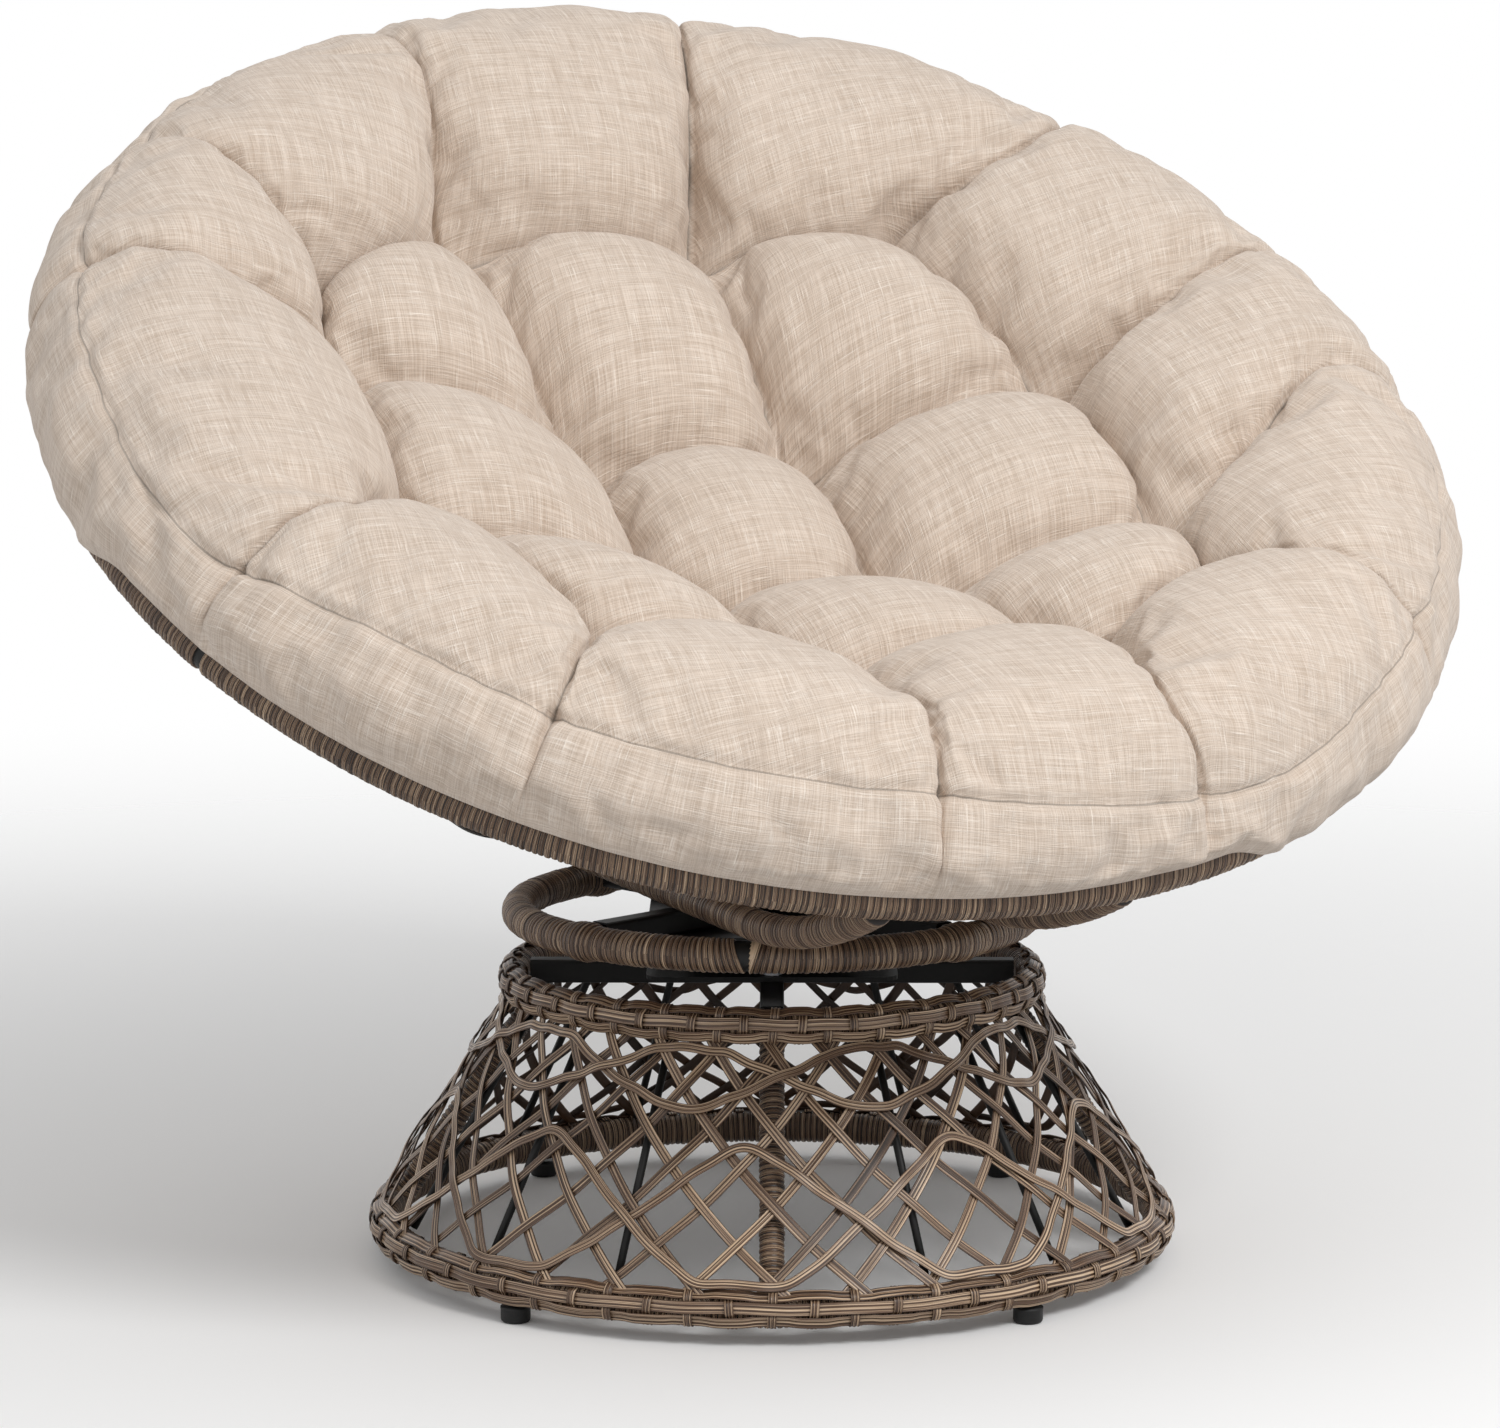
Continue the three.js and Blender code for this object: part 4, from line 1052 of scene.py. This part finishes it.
# %% A puff in the dish
arch_height = 0.036
full_seam = 0.17
swell_height = 0.021
cells_per_edge = 32
crowding = 0.07                              # draws the cells together beside the seams
even_shares = np.linspace(0, 1, cells_per_edge + 1)
puff_shares = even_shares - crowding * np.sin(full_turn * even_shares)
across, up = np.meshgrid(puff_shares, puff_shares, indexing="ij")
corner_shares = [(1 - across) * (1 - up), across * (1 - up), across * up, (1 - across) * up]


def dish_height(x, y):
    return -dish_depth + dish_rise * (x * x + y * y) / dish_radius ** 2


def arch(share):
    """How high a seam stands between its two tufts, 0 at the tufts and 1 in the middle."""
    return np.maximum(1 - (2 * share - 1) ** 2, 0) ** 0.75


def swell(share, sharpness=2.4):
    """The side of a puff between two seams: steep at the seams, flat in the middle."""
    return np.maximum(1 - np.abs(2 * share - 1) ** sharpness, 0) ** 0.5


def seam_rise(first, second):
    """How high the middle of a seam stands. A short seam arches less."""
    return arch_height * min(1, math.dist(first, second) / full_seam)


def spread(corners):
    """The points of a puff's grid, spread evenly between its four corners."""
    return sum(share[..., None] * np.array(corner) for share, corner in zip(corner_shares, corners))


def puff_rise(arch_low, arch_high, arch_left, arch_right, swelling):
    """How far a puff stands above its tufts: the arches of its four seams and its own swelling."""
    return (arch(across) * lerp(arch_low, arch_high, up) + arch(up) * lerp(arch_left, arch_right, across)
            + swelling * swell(across) * swell(up))


def dish_puff(a, b, c, d):
    """A grid over four tufts, which are named in turn round the puff."""
    puff = spread([(*tuft, dish_height(*tuft)) for tuft in (a, b, c, d)])
    puff[..., 2] += puff_rise(seam_rise(a, b), seam_rise(d, c), seam_rise(a, d), seam_rise(b, c),
                              swell_height)
    return puff


print("each puff is a grid of", cells_per_edge, "by", cells_per_edge, "cells")

# %% [markdown]
# A puff of the outer row climbs out of the dish, goes over the roll at the cushion's edge and ends
# at the seam of the band. It is worked out as a row of profiles, each an outline in the upright
# plane through the bowl's middle, and then carried round. The seam of the band wanders up and down
# the roll, because the cover was never set square in the bowl.

# %% A puff over the edge
roll_inset = 0.066
roll_centre = (rim_radius - roll_inset, 0.033)
roll_reach = 0.078
roll_reach_at_seams = 0.065
roll_sharpness = 7
crest_turn = math.radians(112)
wall_sharpness = 2.6
leave_at_seams = np.array([0.85, 0.5])       # out of the dish: outward at the seams
leave_between = np.array([0.1, 1.0])         # and upward between them
leave_pull, arrive_pull = 0.45, 0.42         # of the straight way from the dish to the roll's crest
turned_by_share = 0.8
wall_rows = 18
roll_rows = 16
band_seam_places = [(0, 38), (120, 40), (180, 41), (190, 33), (202, 31), (206, 41), (216, 49), (224, 50),
                    (236, 46), (262, 44), (285, 24), (292, 21), (298, 24), (305, 32), (312, 36), (330, 38),
                    (360, 38)]               # degrees round the bowl, and up the roll


def smooth_share(share):
    share = np.clip(share, 0, 1)
    return share * share * (3 - 2 * share)


def in_section(centre, reach, turn):
    """Places (radius, height) in the upright plane, at a reach and a turn from a centre in it."""
    return np.stack([centre[0] + reach * np.cos(turn), centre[1] + reach * np.sin(turn)], -1)


def runs_along(profile):
    """How far each point of a row of profiles is from the profile's first point, along the cloth."""
    steps = np.linalg.norm(np.diff(profile, axis=0), axis=-1)
    return np.concatenate([np.zeros((1, profile.shape[1])), np.cumsum(steps, 0)])


def edge_line(first, second):
    """Plan places along the seam between two outer tufts."""
    return lerp(np.array(first), np.array(second), puff_shares[:, None])


def border_turn(angle):
    """How far up the roll the seam of the band lies, as an angle round the roll's section."""
    places, turns = np.array(band_seam_places, float).T
    degrees = np.degrees(angle)
    beside = [np.interp((degrees + step) % 360, places, turns) for step in (-2, -1, 0, 1, 2)]
    return np.radians(np.mean(beside, axis=0))


def edge_puff(first, second, first_angle, second_angle):
    """The puff's points and flat cloth, and what the band needs: its angles, the roll's reach, and
    how far each point is from the band's seam."""
    plan = edge_line(first, second)
    radius = np.hypot(plan[:, 0], plan[:, 1])
    start_angle = np.unwrap(np.arctan2(plan[:, 1], plan[:, 0]))
    end_angle = lerp(first_angle, second_angle, puff_shares)
    start_angle = start_angle + full_turn * np.round((end_angle - start_angle) / full_turn)
    height = lerp(dish_height(*first), dish_height(*second), puff_shares)
    start = np.stack([radius, height + seam_rise(first, second) * arch(puff_shares)], -1)
    reach = lerp(roll_reach_at_seams, roll_reach, swell(puff_shares, roll_sharpness))
    crest = in_section(roll_centre, reach, crest_turn)
    span = np.linalg.norm(crest - start, axis=1)[:, None]
    leave = unit(lerp(leave_at_seams, leave_between, swell(puff_shares, wall_sharpness)[:, None]))
    arrive = np.array([math.sin(crest_turn), -math.cos(crest_turn)])
    wall = bezier([start, start + leave * span * leave_pull, crest - arrive * span * arrive_pull, crest],
                  wall_rows + 1)
    roll_turn = lerp(crest_turn, border_turn(end_angle), np.linspace(0, 1, roll_rows + 1)[1:, None])
    profile = np.concatenate([wall, in_section(roll_centre, reach, roll_turn)])
    runs = runs_along(profile)
    angle = lerp(start_angle, end_angle, smooth_share(runs / runs[-1] / turned_by_share))
    cloth_radius = radius + runs
    cloth = np.stack([cloth_radius * np.cos(angle), cloth_radius * np.sin(angle)], -1)
    puff = round_axis(profile[..., 0], profile[..., 1], angle)
    return puff, cloth, end_angle, reach, runs - runs[-1]


print("the roll stands", round(roll_centre[1] + roll_reach, 3), "m above the rim's plane")

# %% [markdown]
# From its seam the band goes out over the rim's shoulder and is tucked in under the cushion, so
# no gap shows between the two. In front the rim is seen below the band. At the sides and the back
# the band sags over it.

# %% The band
rim_clearance = 0.0008
rim_centre = (rim_radius, 0)
over_rim = rim_tube_radius + rim_clearance
rim_seen_from = math.radians(189)
rim_seen_to = math.radians(292)
shoulder_turn, under_turn = math.radians(38), math.radians(-50)
turns_under_over = math.radians(8)
band_drop = 0.036
band_overhang, overhang_in_front = 0.013, 0.003
overhang_at_seams_share = 0.6
overhang_at_top_share = 0.4
band_lift = 0.016
band_sharpness = 5
band_rows = 14
tuck_rows = 10
band_aside = 2.0                             # in the flat pattern, so that no two parts of it overlap


def rim_contact(angle):
    """Where the band meets the rim, as an angle round the rim's section: on its shoulder in front,
    where the rim is seen, and under it at the sides and back, where the band hangs over it."""
    middle, half = (rim_seen_from + rim_seen_to) / 2, (rim_seen_to - rim_seen_from) / 2
    away = np.abs((angle - middle + math.pi) % full_turn - math.pi)
    return lerp(shoulder_turn, under_turn, smooth_share((away - half) / turns_under_over + 0.5))


def band(end_angle, reach):
    """The band below one puff: its points, its flat cloth, and how far each is past the seam."""
    border = border_turn(end_angle)
    down = np.stack([np.sin(border), -np.cos(border)], -1)
    start = in_section(roll_centre, reach, border)
    turn = rim_contact(end_angle)
    contact = in_section(rim_centre, over_rim, turn)
    fullness = lerp(overhang_at_seams_share, 1, swell(puff_shares, band_sharpness)[:, None])
    overhang = (band_overhang + overhang_in_front * np.cos(end_angle)[:, None] ** 2) * fullness
    fall = bezier([start, start + down * band_drop + overhang * [overhang_at_top_share, 0],
                   contact + overhang * [1, 0] + [0, band_lift], contact], band_rows + 1)
    around_rim = lerp(turn, math.pi, np.linspace(0, 1, tuck_rows + 1)[1:, None])
    profile = np.concatenate([fall, in_section(rim_centre, over_rim, around_rim)])
    runs = runs_along(profile)
    length_round = np.broadcast_to(end_angle, runs.shape) * (roll_centre[0] + roll_reach)
    strip = round_axis(profile[..., 0], profile[..., 1], end_angle)
    return strip, np.stack([length_round, band_aside + runs], -1), runs


print("the band has", band_rows, "rows down to the rim and", tuck_rows, "under the cushion")

# %% [markdown]
# Below, the cushion lies in the round bowl. It is nearly as round as the bowl, with the same tufts
# drawn up into it, because each thread goes right through.

# %% The underside
underside_stand_off = 0.0076
underside_radius = bowl_radius - underside_stand_off
underside_tuft = 0.02
underside_arch = 0.010
underside_swell = 0.006
underside_full = 2 * underside_arch + underside_swell
underside_rows = 14
underside_aside = 5.0


def underside_height(x, y):
    return bowl_centre_height - np.sqrt(underside_radius ** 2 - x * x - y * y)


def underside_puff(*tufts):
    plan = spread(tufts)
    rise = puff_rise(*[underside_arch] * 4, underside_swell)
    drawn_up = underside_tuft * np.maximum(1 - rise / underside_full, 0)
    height = underside_height(plan[..., 0], plan[..., 1]) + drawn_up
    return np.concatenate([plan, height[..., None]], -1), plan + underside_aside


def underside_edge(first, second, end_angle):
    """From the rim's inner side in to the seam between two outer tufts."""
    outer_radius = rim_radius - over_rim
    outer = np.stack([outer_radius * np.cos(end_angle), outer_radius * np.sin(end_angle)], -1)
    inward = np.linspace(0, 1, underside_rows + 1)[:, None]
    place = lerp(outer, edge_line(first, second), inward[..., None])
    drawn_up = underside_tuft * np.maximum(1 - underside_arch * arch(puff_shares) / underside_full, 0)
    seams = underside_swell * (1 - swell(puff_shares)) * np.sin(math.pi * inward)
    height = underside_height(place[..., 0], place[..., 1]) + (seams + drawn_up * smooth_share(inward) ** 3)
    height[0] = 0.0
    return np.concatenate([place, height[..., None]], -1), place + underside_aside


print("underside", round(-underside_height(0, 0), 3), "m under the rim's plane")

# %% [markdown]
# Now all the patches are laid side by side and sewn: corners that lie on one spot become one.
# A closed cover has two faces on each edge, and the count below has to be zero. Three numbers stay
# with every corner: how firmly it is held, whether it is on a seam, and how far it is past the
# seam of the band.

# %% Patches
band_seam_hold = 0.85
rows_to_hold = 4                             # over which the band's lower edge gets its full hold
rows_of_gathers = 5                          # over which the puffs' seams run out into the band
cover = {kind: [] for kind in ("points", "faces", "cloth", "hold", "seam", "border")}


def add_patch(points, cloth, hold, seam, border, flip=False):
    """One grid of the cover. Hold, seam and border are a number or a grid of them."""
    rows, columns = points.shape[:2]
    start = sum(len(patch) for patch in cover["points"])
    index = np.arange(rows * columns).reshape(rows, columns)
    quads = np.stack([index[:-1, :-1], index[1:, :-1], index[1:, 1:], index[:-1, 1:]], -1).reshape(-1, 4)
    if flip:
        quads = quads[:, ::-1]
    cover["points"].append(points.reshape(-1, 3))
    cover["faces"].append(start + quads)
    cover["cloth"].append(cloth.reshape(-1, 2)[quads])
    for kind, values in (("hold", hold), ("seam", seam), ("border", border)):
        cover[kind].append(np.broadcast_to(values, (rows, columns)).reshape(-1))


def at_edges(grid, first=1.0, sides=1.0, last=0.0):
    """Numbers for a grid's points: 0 inside, and those given on its first row, sides and last row."""
    marks = np.zeros(grid.shape[:2])
    marks[:, 0] = marks[:, -1] = sides
    marks[0] = np.maximum(marks[0], first)
    marks[-1] = np.maximum(marks[-1], last)
    return marks


def add_band(end_angle, reach):
    strip, cloth, past_border = band(end_angle, reach)
    held = at_edges(strip, first=band_seam_hold, sides=0.0)
    last_rows = len(strip) - (band_rows - rows_to_hold)
    held[-last_rows:] = np.minimum((np.arange(last_rows) + 1) / rows_to_hold, 1)[:, None]
    fade = np.clip(1 - np.arange(len(strip)) / rows_of_gathers, 0, 1)
    gathers = at_edges(strip, first=0.0) * fade[:, None]
    add_patch(strip, cloth, np.maximum(held, gathers), gathers, past_border)


for upper, lower in zip(tuft_rows, tuft_rows[1:]):
    for column in range(3):
        tufts = lower[column], lower[column + 1], upper[column + 1], upper[column]
        puff = dish_puff(*tufts)
        on_seams = at_edges(puff, last=1.0)
        add_patch(puff, puff[..., :2], on_seams, on_seams, -1.0)
        below, cloth = underside_puff(*tufts)
        add_patch(below, cloth, 1.0, on_seams, 1.0, flip=True)

edge_tufts.append(edge_tufts[0])
edge_seam_angles.append(edge_seam_angles[0] + full_turn)
for first, second, *angles in zip(edge_tufts, edge_tufts[1:], edge_seam_angles, edge_seam_angles[1:]):
    puff, cloth, end_angle, reach, past_border = edge_puff(first, second, *angles)
    add_patch(puff, cloth, at_edges(puff, last=band_seam_hold), at_edges(puff), past_border)
    add_band(end_angle, reach)
    below, cloth = underside_edge(first, second, end_angle)
    add_patch(below, cloth, 1.0, at_edges(below, first=0.0, last=1.0), 1.0)
print(len(cover["points"]), "patches")

# %% [markdown]
# The cloth's own flat shape goes with the faces, and the linen finish is laid out on it.

# %% Sew the cover
sewing_distance = 0.0004
cover = {kind: np.concatenate(patches) for kind, patches in cover.items()}
cushion_mesh = build_mesh("cushion_cover", carried(cover["points"], bowl_frame), cover["faces"].tolist(),
                          cover["cloth"])
for kind in ("hold", "seam", "border"):
    layer = cushion_mesh.attributes.new(kind, "FLOAT", "POINT")
    layer.data.foreach_set("value", cover[kind].astype(np.float32))

sewing = bmesh.new()
sewing.from_mesh(cushion_mesh)
bmesh.ops.remove_doubles(sewing, verts=sewing.verts, dist=sewing_distance)
bmesh.ops.recalc_face_normals(sewing, faces=sewing.faces)
open_edges = sum(1 for edge in sewing.edges if len(edge.link_faces) != 2)
sewing.to_mesh(cushion_mesh)
sewing.free()
print("cushion cover:", len(cushion_mesh.vertices), "points,", open_edges, "open edges")

# %% [markdown]
# The simulation blows the cover up a little with air. The cloth is cut six hundredths larger
# than the puffs, so it has some to spare, and the spare gathers into folds beside the seams.
# No point may move further than a set distance, so the cushion keeps its place in the bowl.

# %% Cover as cloth
cushion = bpy.data.objects.new("round_cushion", cushion_mesh)
bpy.context.scene.collection.objects.link(cushion)
most_movement = 0.024
last_frame = 20


def point_values(mesh, name):
    values = np.zeros(len(mesh.vertices), np.float32)
    mesh.attributes[name].data.foreach_get("value", values)
    return values


def point_places(mesh):
    places = np.zeros(len(mesh.vertices) * 3, np.float32)
    mesh.vertices.foreach_get("co", places)
    return places.reshape(-1, 3)


def move_points(mesh, places):
    mesh.vertices.foreach_set("co", places.ravel())
    mesh.update()


def simulate_cover(pad):
    hold = point_values(pad.data, "hold")
    group = pad.vertex_groups.new(name="hold")
    for level in np.unique(hold):
        if level > 0:
            group.add(np.flatnonzero(hold == level).tolist(), float(level), "REPLACE")
    cloth = pad.modifiers.new("cover", "CLOTH")
    cloth.settings.quality = 6
    cloth.settings.mass = 0.2
    cloth.settings.tension_stiffness = 18
    cloth.settings.compression_stiffness = 18
    cloth.settings.shear_stiffness = 6
    cloth.settings.bending_stiffness = 0.6
    cloth.settings.air_damping = 3
    cloth.settings.vertex_group_mass = "hold"
    cloth.settings.use_pressure = True
    cloth.settings.uniform_pressure_force = 4
    cloth.settings.shrink_min = -0.06
    cloth.settings.effector_weights.gravity = 0
    cloth.point_cache.frame_start = 1
    cloth.point_cache.frame_end = last_frame
    scene = bpy.context.scene
    for frame_number in range(1, last_frame + 1):
        scene.frame_set(frame_number)
    graph = bpy.context.evaluated_depsgraph_get()
    before = point_places(pad.data)
    moved = point_places(pad.evaluated_get(graph).to_mesh()) - before
    length = np.linalg.norm(moved, axis=1, keepdims=True)
    moved *= np.minimum(1, most_movement / np.maximum(length, tiny))
    pad.modifiers.remove(cloth)
    pad.vertex_groups.clear()
    scene.frame_set(1)
    move_points(pad.data, before + moved)
    print("cover moved", round(float(length.mean()), 4), "on average,",
          round(float(length.max()), 4), "at most")


simulate_cover(cushion)

# %% [markdown]
# One subdivision smooths the cloth between its corners. The seams get a crease, which keeps them
# as sharp as sewn cloth is.

# %% Finer cover
seam_sharpness = 0.8
crease = cushion_mesh.attributes.new("crease_edge", "FLOAT", "EDGE")
edge_ends = np.zeros(len(cushion_mesh.edges) * 2, np.int32)
cushion_mesh.edges.foreach_get("vertices", edge_ends)
on_seam = (point_values(cushion_mesh, "seam")[edge_ends.reshape(-1, 2)] > 0.5).all(1)
crease.data.foreach_set("value", on_seam.astype(np.float32) * seam_sharpness)
finer = cushion.modifiers.new("finer", "SUBSURF")
finer.levels = finer.render_levels = 1
bpy.context.view_layer.objects.active = cushion
bpy.ops.object.modifier_apply(modifier="finer")
print("cushion:", len(cushion.data.vertices), "points")

# %% [markdown]
# The seams between the puffs are drawn in a little deeper, so that each shows as a thin crease; the linen
# adds painted shade along it as a thin dark line.
# The seam of the band is a narrow groove with puckers on both sides of it, where the stitches
# gather the cloth. Larger soft folds hang over the band. Both come from lists of random numbers
# laid round the edge and joined by a smooth curve.

# %% Seams drawn in, and puckers and folds at the band
seam_draw = 0.0045
groove, groove_width = 0.0024, 0.0035
lip, lip_place, lip_width = 0.0009, 0.008, 0.004
puckers_above, count_above, reach_above = 0.0022, 180, 0.020
puckers_below, count_below, reach_below = 0.0028, 150, 0.030
folds_start_over, folds_end_at, folds_end_over = 0.012, 0.075, 0.03
fold_depth, slack_depth = 0.0028, 0.0030       # everywhere, and more where the band is slack
fold_count = 66
pucker_slant, fold_slant = 1.2, 0.5            # how far they turn aside on their way down the band
slack_side = math.radians(225)


def waves_round(angle, count, seed):
    """A smooth random wave round the edge, with about this many swings either way."""
    heights = np.random.default_rng(seed).uniform(-1, 1, count)
    place = (angle / full_turn % 1) * count
    before = np.floor(place).astype(int)
    return lerp(heights[before % count], heights[(before + 1) % count], smooth_share(place - before))


def sew_band(mesh):
    places = point_places(mesh)
    normals = np.zeros(places.size)
    mesh.vertex_normals.foreach_get("vector", normals)
    in_bowl = carried(places, bowl_frame.inverted())
    angle = np.arctan2(in_bowl[:, 1], in_bowl[:, 0])
    past = point_values(mesh, "border")
    near = np.abs(past)
    drawn_in = (-seam_draw * point_values(mesh, "seam") ** 2 - groove * np.exp(-(near / groove_width) ** 2)
                + lip * np.exp(-((near - lip_place) / lip_width) ** 2))
    above = waves_round(angle, count_above, 1) * (past < 0)
    below = waves_round(angle + past * pucker_slant, count_below, 2) * (past >= 0)
    slack = fold_depth + slack_depth * np.clip(np.cos(angle - slack_side), 0, 1) ** 2
    on_band = np.clip(past / folds_start_over, 0, 1) * np.clip((folds_end_at - past) / folds_end_over, 0, 1)
    folds = waves_round(angle - past * fold_slant, fold_count, 3) * on_band
    lift = (drawn_in + puckers_above * above * np.exp(-near / reach_above)
            + puckers_below * below * np.exp(-near / reach_below) + slack * folds)
    move_points(mesh, places + normals.reshape(-1, 3) * lift[:, None])


sew_band(cushion.data)
print("band sewn on")

# %% [markdown]
# Linen is woven of uneven yarn. Each yarn shows as a thin streak, light or dark, some centimetres
# long, and the two directions cross. Thicker slubs stand out lighter here and there. The pattern
# lies in the cloth's own flat shape, so it bends with the puffs and meets the band's at its seam.
# Painted shade darkens the seams, as a thin line.

# %% Linen
linen_light = from_screen(242, 230, 217)
linen_mid = from_screen(222, 206, 191)
linen_dark = from_screen(186, 167, 149)
thread_height = 0.0007

linen = Finish("linen_weave", Roughness=0.92, Metallic=0.0, Sheen_Weight=0.2, Sheen_Roughness=0.5)
cloth_place = linen.node("ShaderNodeUVMap", {"uv_map": "strand"})


def yarns(across, along, low, high, detail=1.0):
    """Streaks in both directions of the cloth: this many to the metre across, and along."""
    warp, weft = (linen.noise(linen.place((*stretch, 1), cloth_place), 1.0, detail, 0.6).between(low, high)
                  for stretch in ((across, along), (along, across)))
    return (warp + weft) * 0.5


thread = yarns(1250, 24, 0.34, 0.68, detail=2.0)
stripes = yarns(150, 9, 0.35, 0.65)
slub = (yarns(950, 38, 0.61, 0.69) * 2).clamped()
tone = (thread * 0.64 + stripes * 0.19 + slub * 0.42 - 0.05).clamped()
cloth_colour = linen.ramp(tone, [(0.0, linen_dark), (0.5, linen_mid), (1.0, linen_light)])
seam_mark = linen.node("ShaderNodeAttribute", {"attribute_name": "seam"}, None, "Fac")
border_mark = linen.node("ShaderNodeAttribute", {"attribute_name": "border"}, None, "Fac")
# Painted shade: a thin dark line along the band's seam.
band_seam_painted_shade = 1 - border_mark.maths("ABSOLUTE").between(0.0002, 0.0011)
# Painted shade: the seams between the puffs, and the band's seam, darken the cloth's colour.
painted_seam_shade = 1 - (seam_mark ** 5 * 0.5).maths("MAXIMUM", band_seam_painted_shade * 0.4)
linen.wear(Base_Color=linen.shade(cloth_colour, painted_seam_shade),
           Normal=linen.bump(thread + slub * 0.7, thread_height, 0.6))

cushion_mesh.materials.append(linen.material)
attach(cushion, "seat")
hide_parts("cushion")
print("cushion covered in linen")

# %% [markdown]
# The floor is a pale disc. Its edge fades out, so that it melts into the white behind it. The camera
# and mirror-like reflections see it pale, but it throws less light back than it seems to, which
# keeps the underside of the chair in shade.

# %% Floor
floor_reach = 3.2
floor_steps = 64
floor_fades_from, floor_fades_to = 0.7, 3.0
floor_as_seen, floor_as_lit = (0.92, 0.92, 0.92), (0.58, 0.58, 0.58)

floor_mesh = bpy.data.meshes.new("floor")
floor_mesh.from_pydata(circle(floor_reach, 0, floor_steps).tolist(), [], [list(range(floor_steps))])
floor = bpy.data.objects.new("floor", floor_mesh)
bpy.context.scene.collection.objects.link(floor)
floor_finish = Finish("pale_floor", Roughness=0.85)
away = floor_finish.node("ShaderNodeVectorMath", {"operation": "LENGTH"}, {0: floor_finish.place()},
                         "Value")
floor_finish.wear(Base_Color=floor_finish.blend(floor_finish.seen_directly(), floor_as_lit, floor_as_seen),
                  Alpha=1 - away.between(floor_fades_from, floor_fades_to))
floor_mesh.materials.append(floor_finish.material)
print("floor", 2 * floor_reach, "m across")

# %% [markdown]
# The light is a big soft lamp high on the right, a weak one on the left, and a pale sky all round.
# Only the camera and mirror-like reflections see the sky as white. What lights the chair is greyer,
# so that the shadows stay.

# %% Light
sky_light = 0.64
lamps_aim_at = Vector((0, 0, 0.5))

world = bpy.data.worlds.new("studio")
bpy.context.scene.world = world
sky = NodeTree(world)
sky_strength = sky.seen_directly() * (1 - sky_light) + sky_light
background = sky.node("ShaderNodeBackground", None, {"Color": (1, 1, 1, 1), "Strength": sky_strength})
sky.node("ShaderNodeOutputWorld", None, {0: background})
bpy.context.scene.view_settings.view_transform = "Standard"


def lamp(name, place, size, watts):
    """A round soft lamp. Its place is given in the base's frame, as the camera's is."""
    data = bpy.data.lights.new(name, "AREA")
    data.shape = "DISK"
    data.size = size
    data.energy = watts
    light = bpy.data.objects.new(name, data)
    light.location = base_frame @ Vector(place)
    light.rotation_euler = (lamps_aim_at - light.location).to_track_quat("-Z", "Y").to_euler()
    bpy.context.scene.collection.objects.link(light)


lamp("key", (1.7, -2.35, 2.9), size=1.4, watts=78)
lamp("fill", (-3.0, -2.6, 1.8), size=2.4, watts=8)
print("two lamps, and a sky at", sky_light)
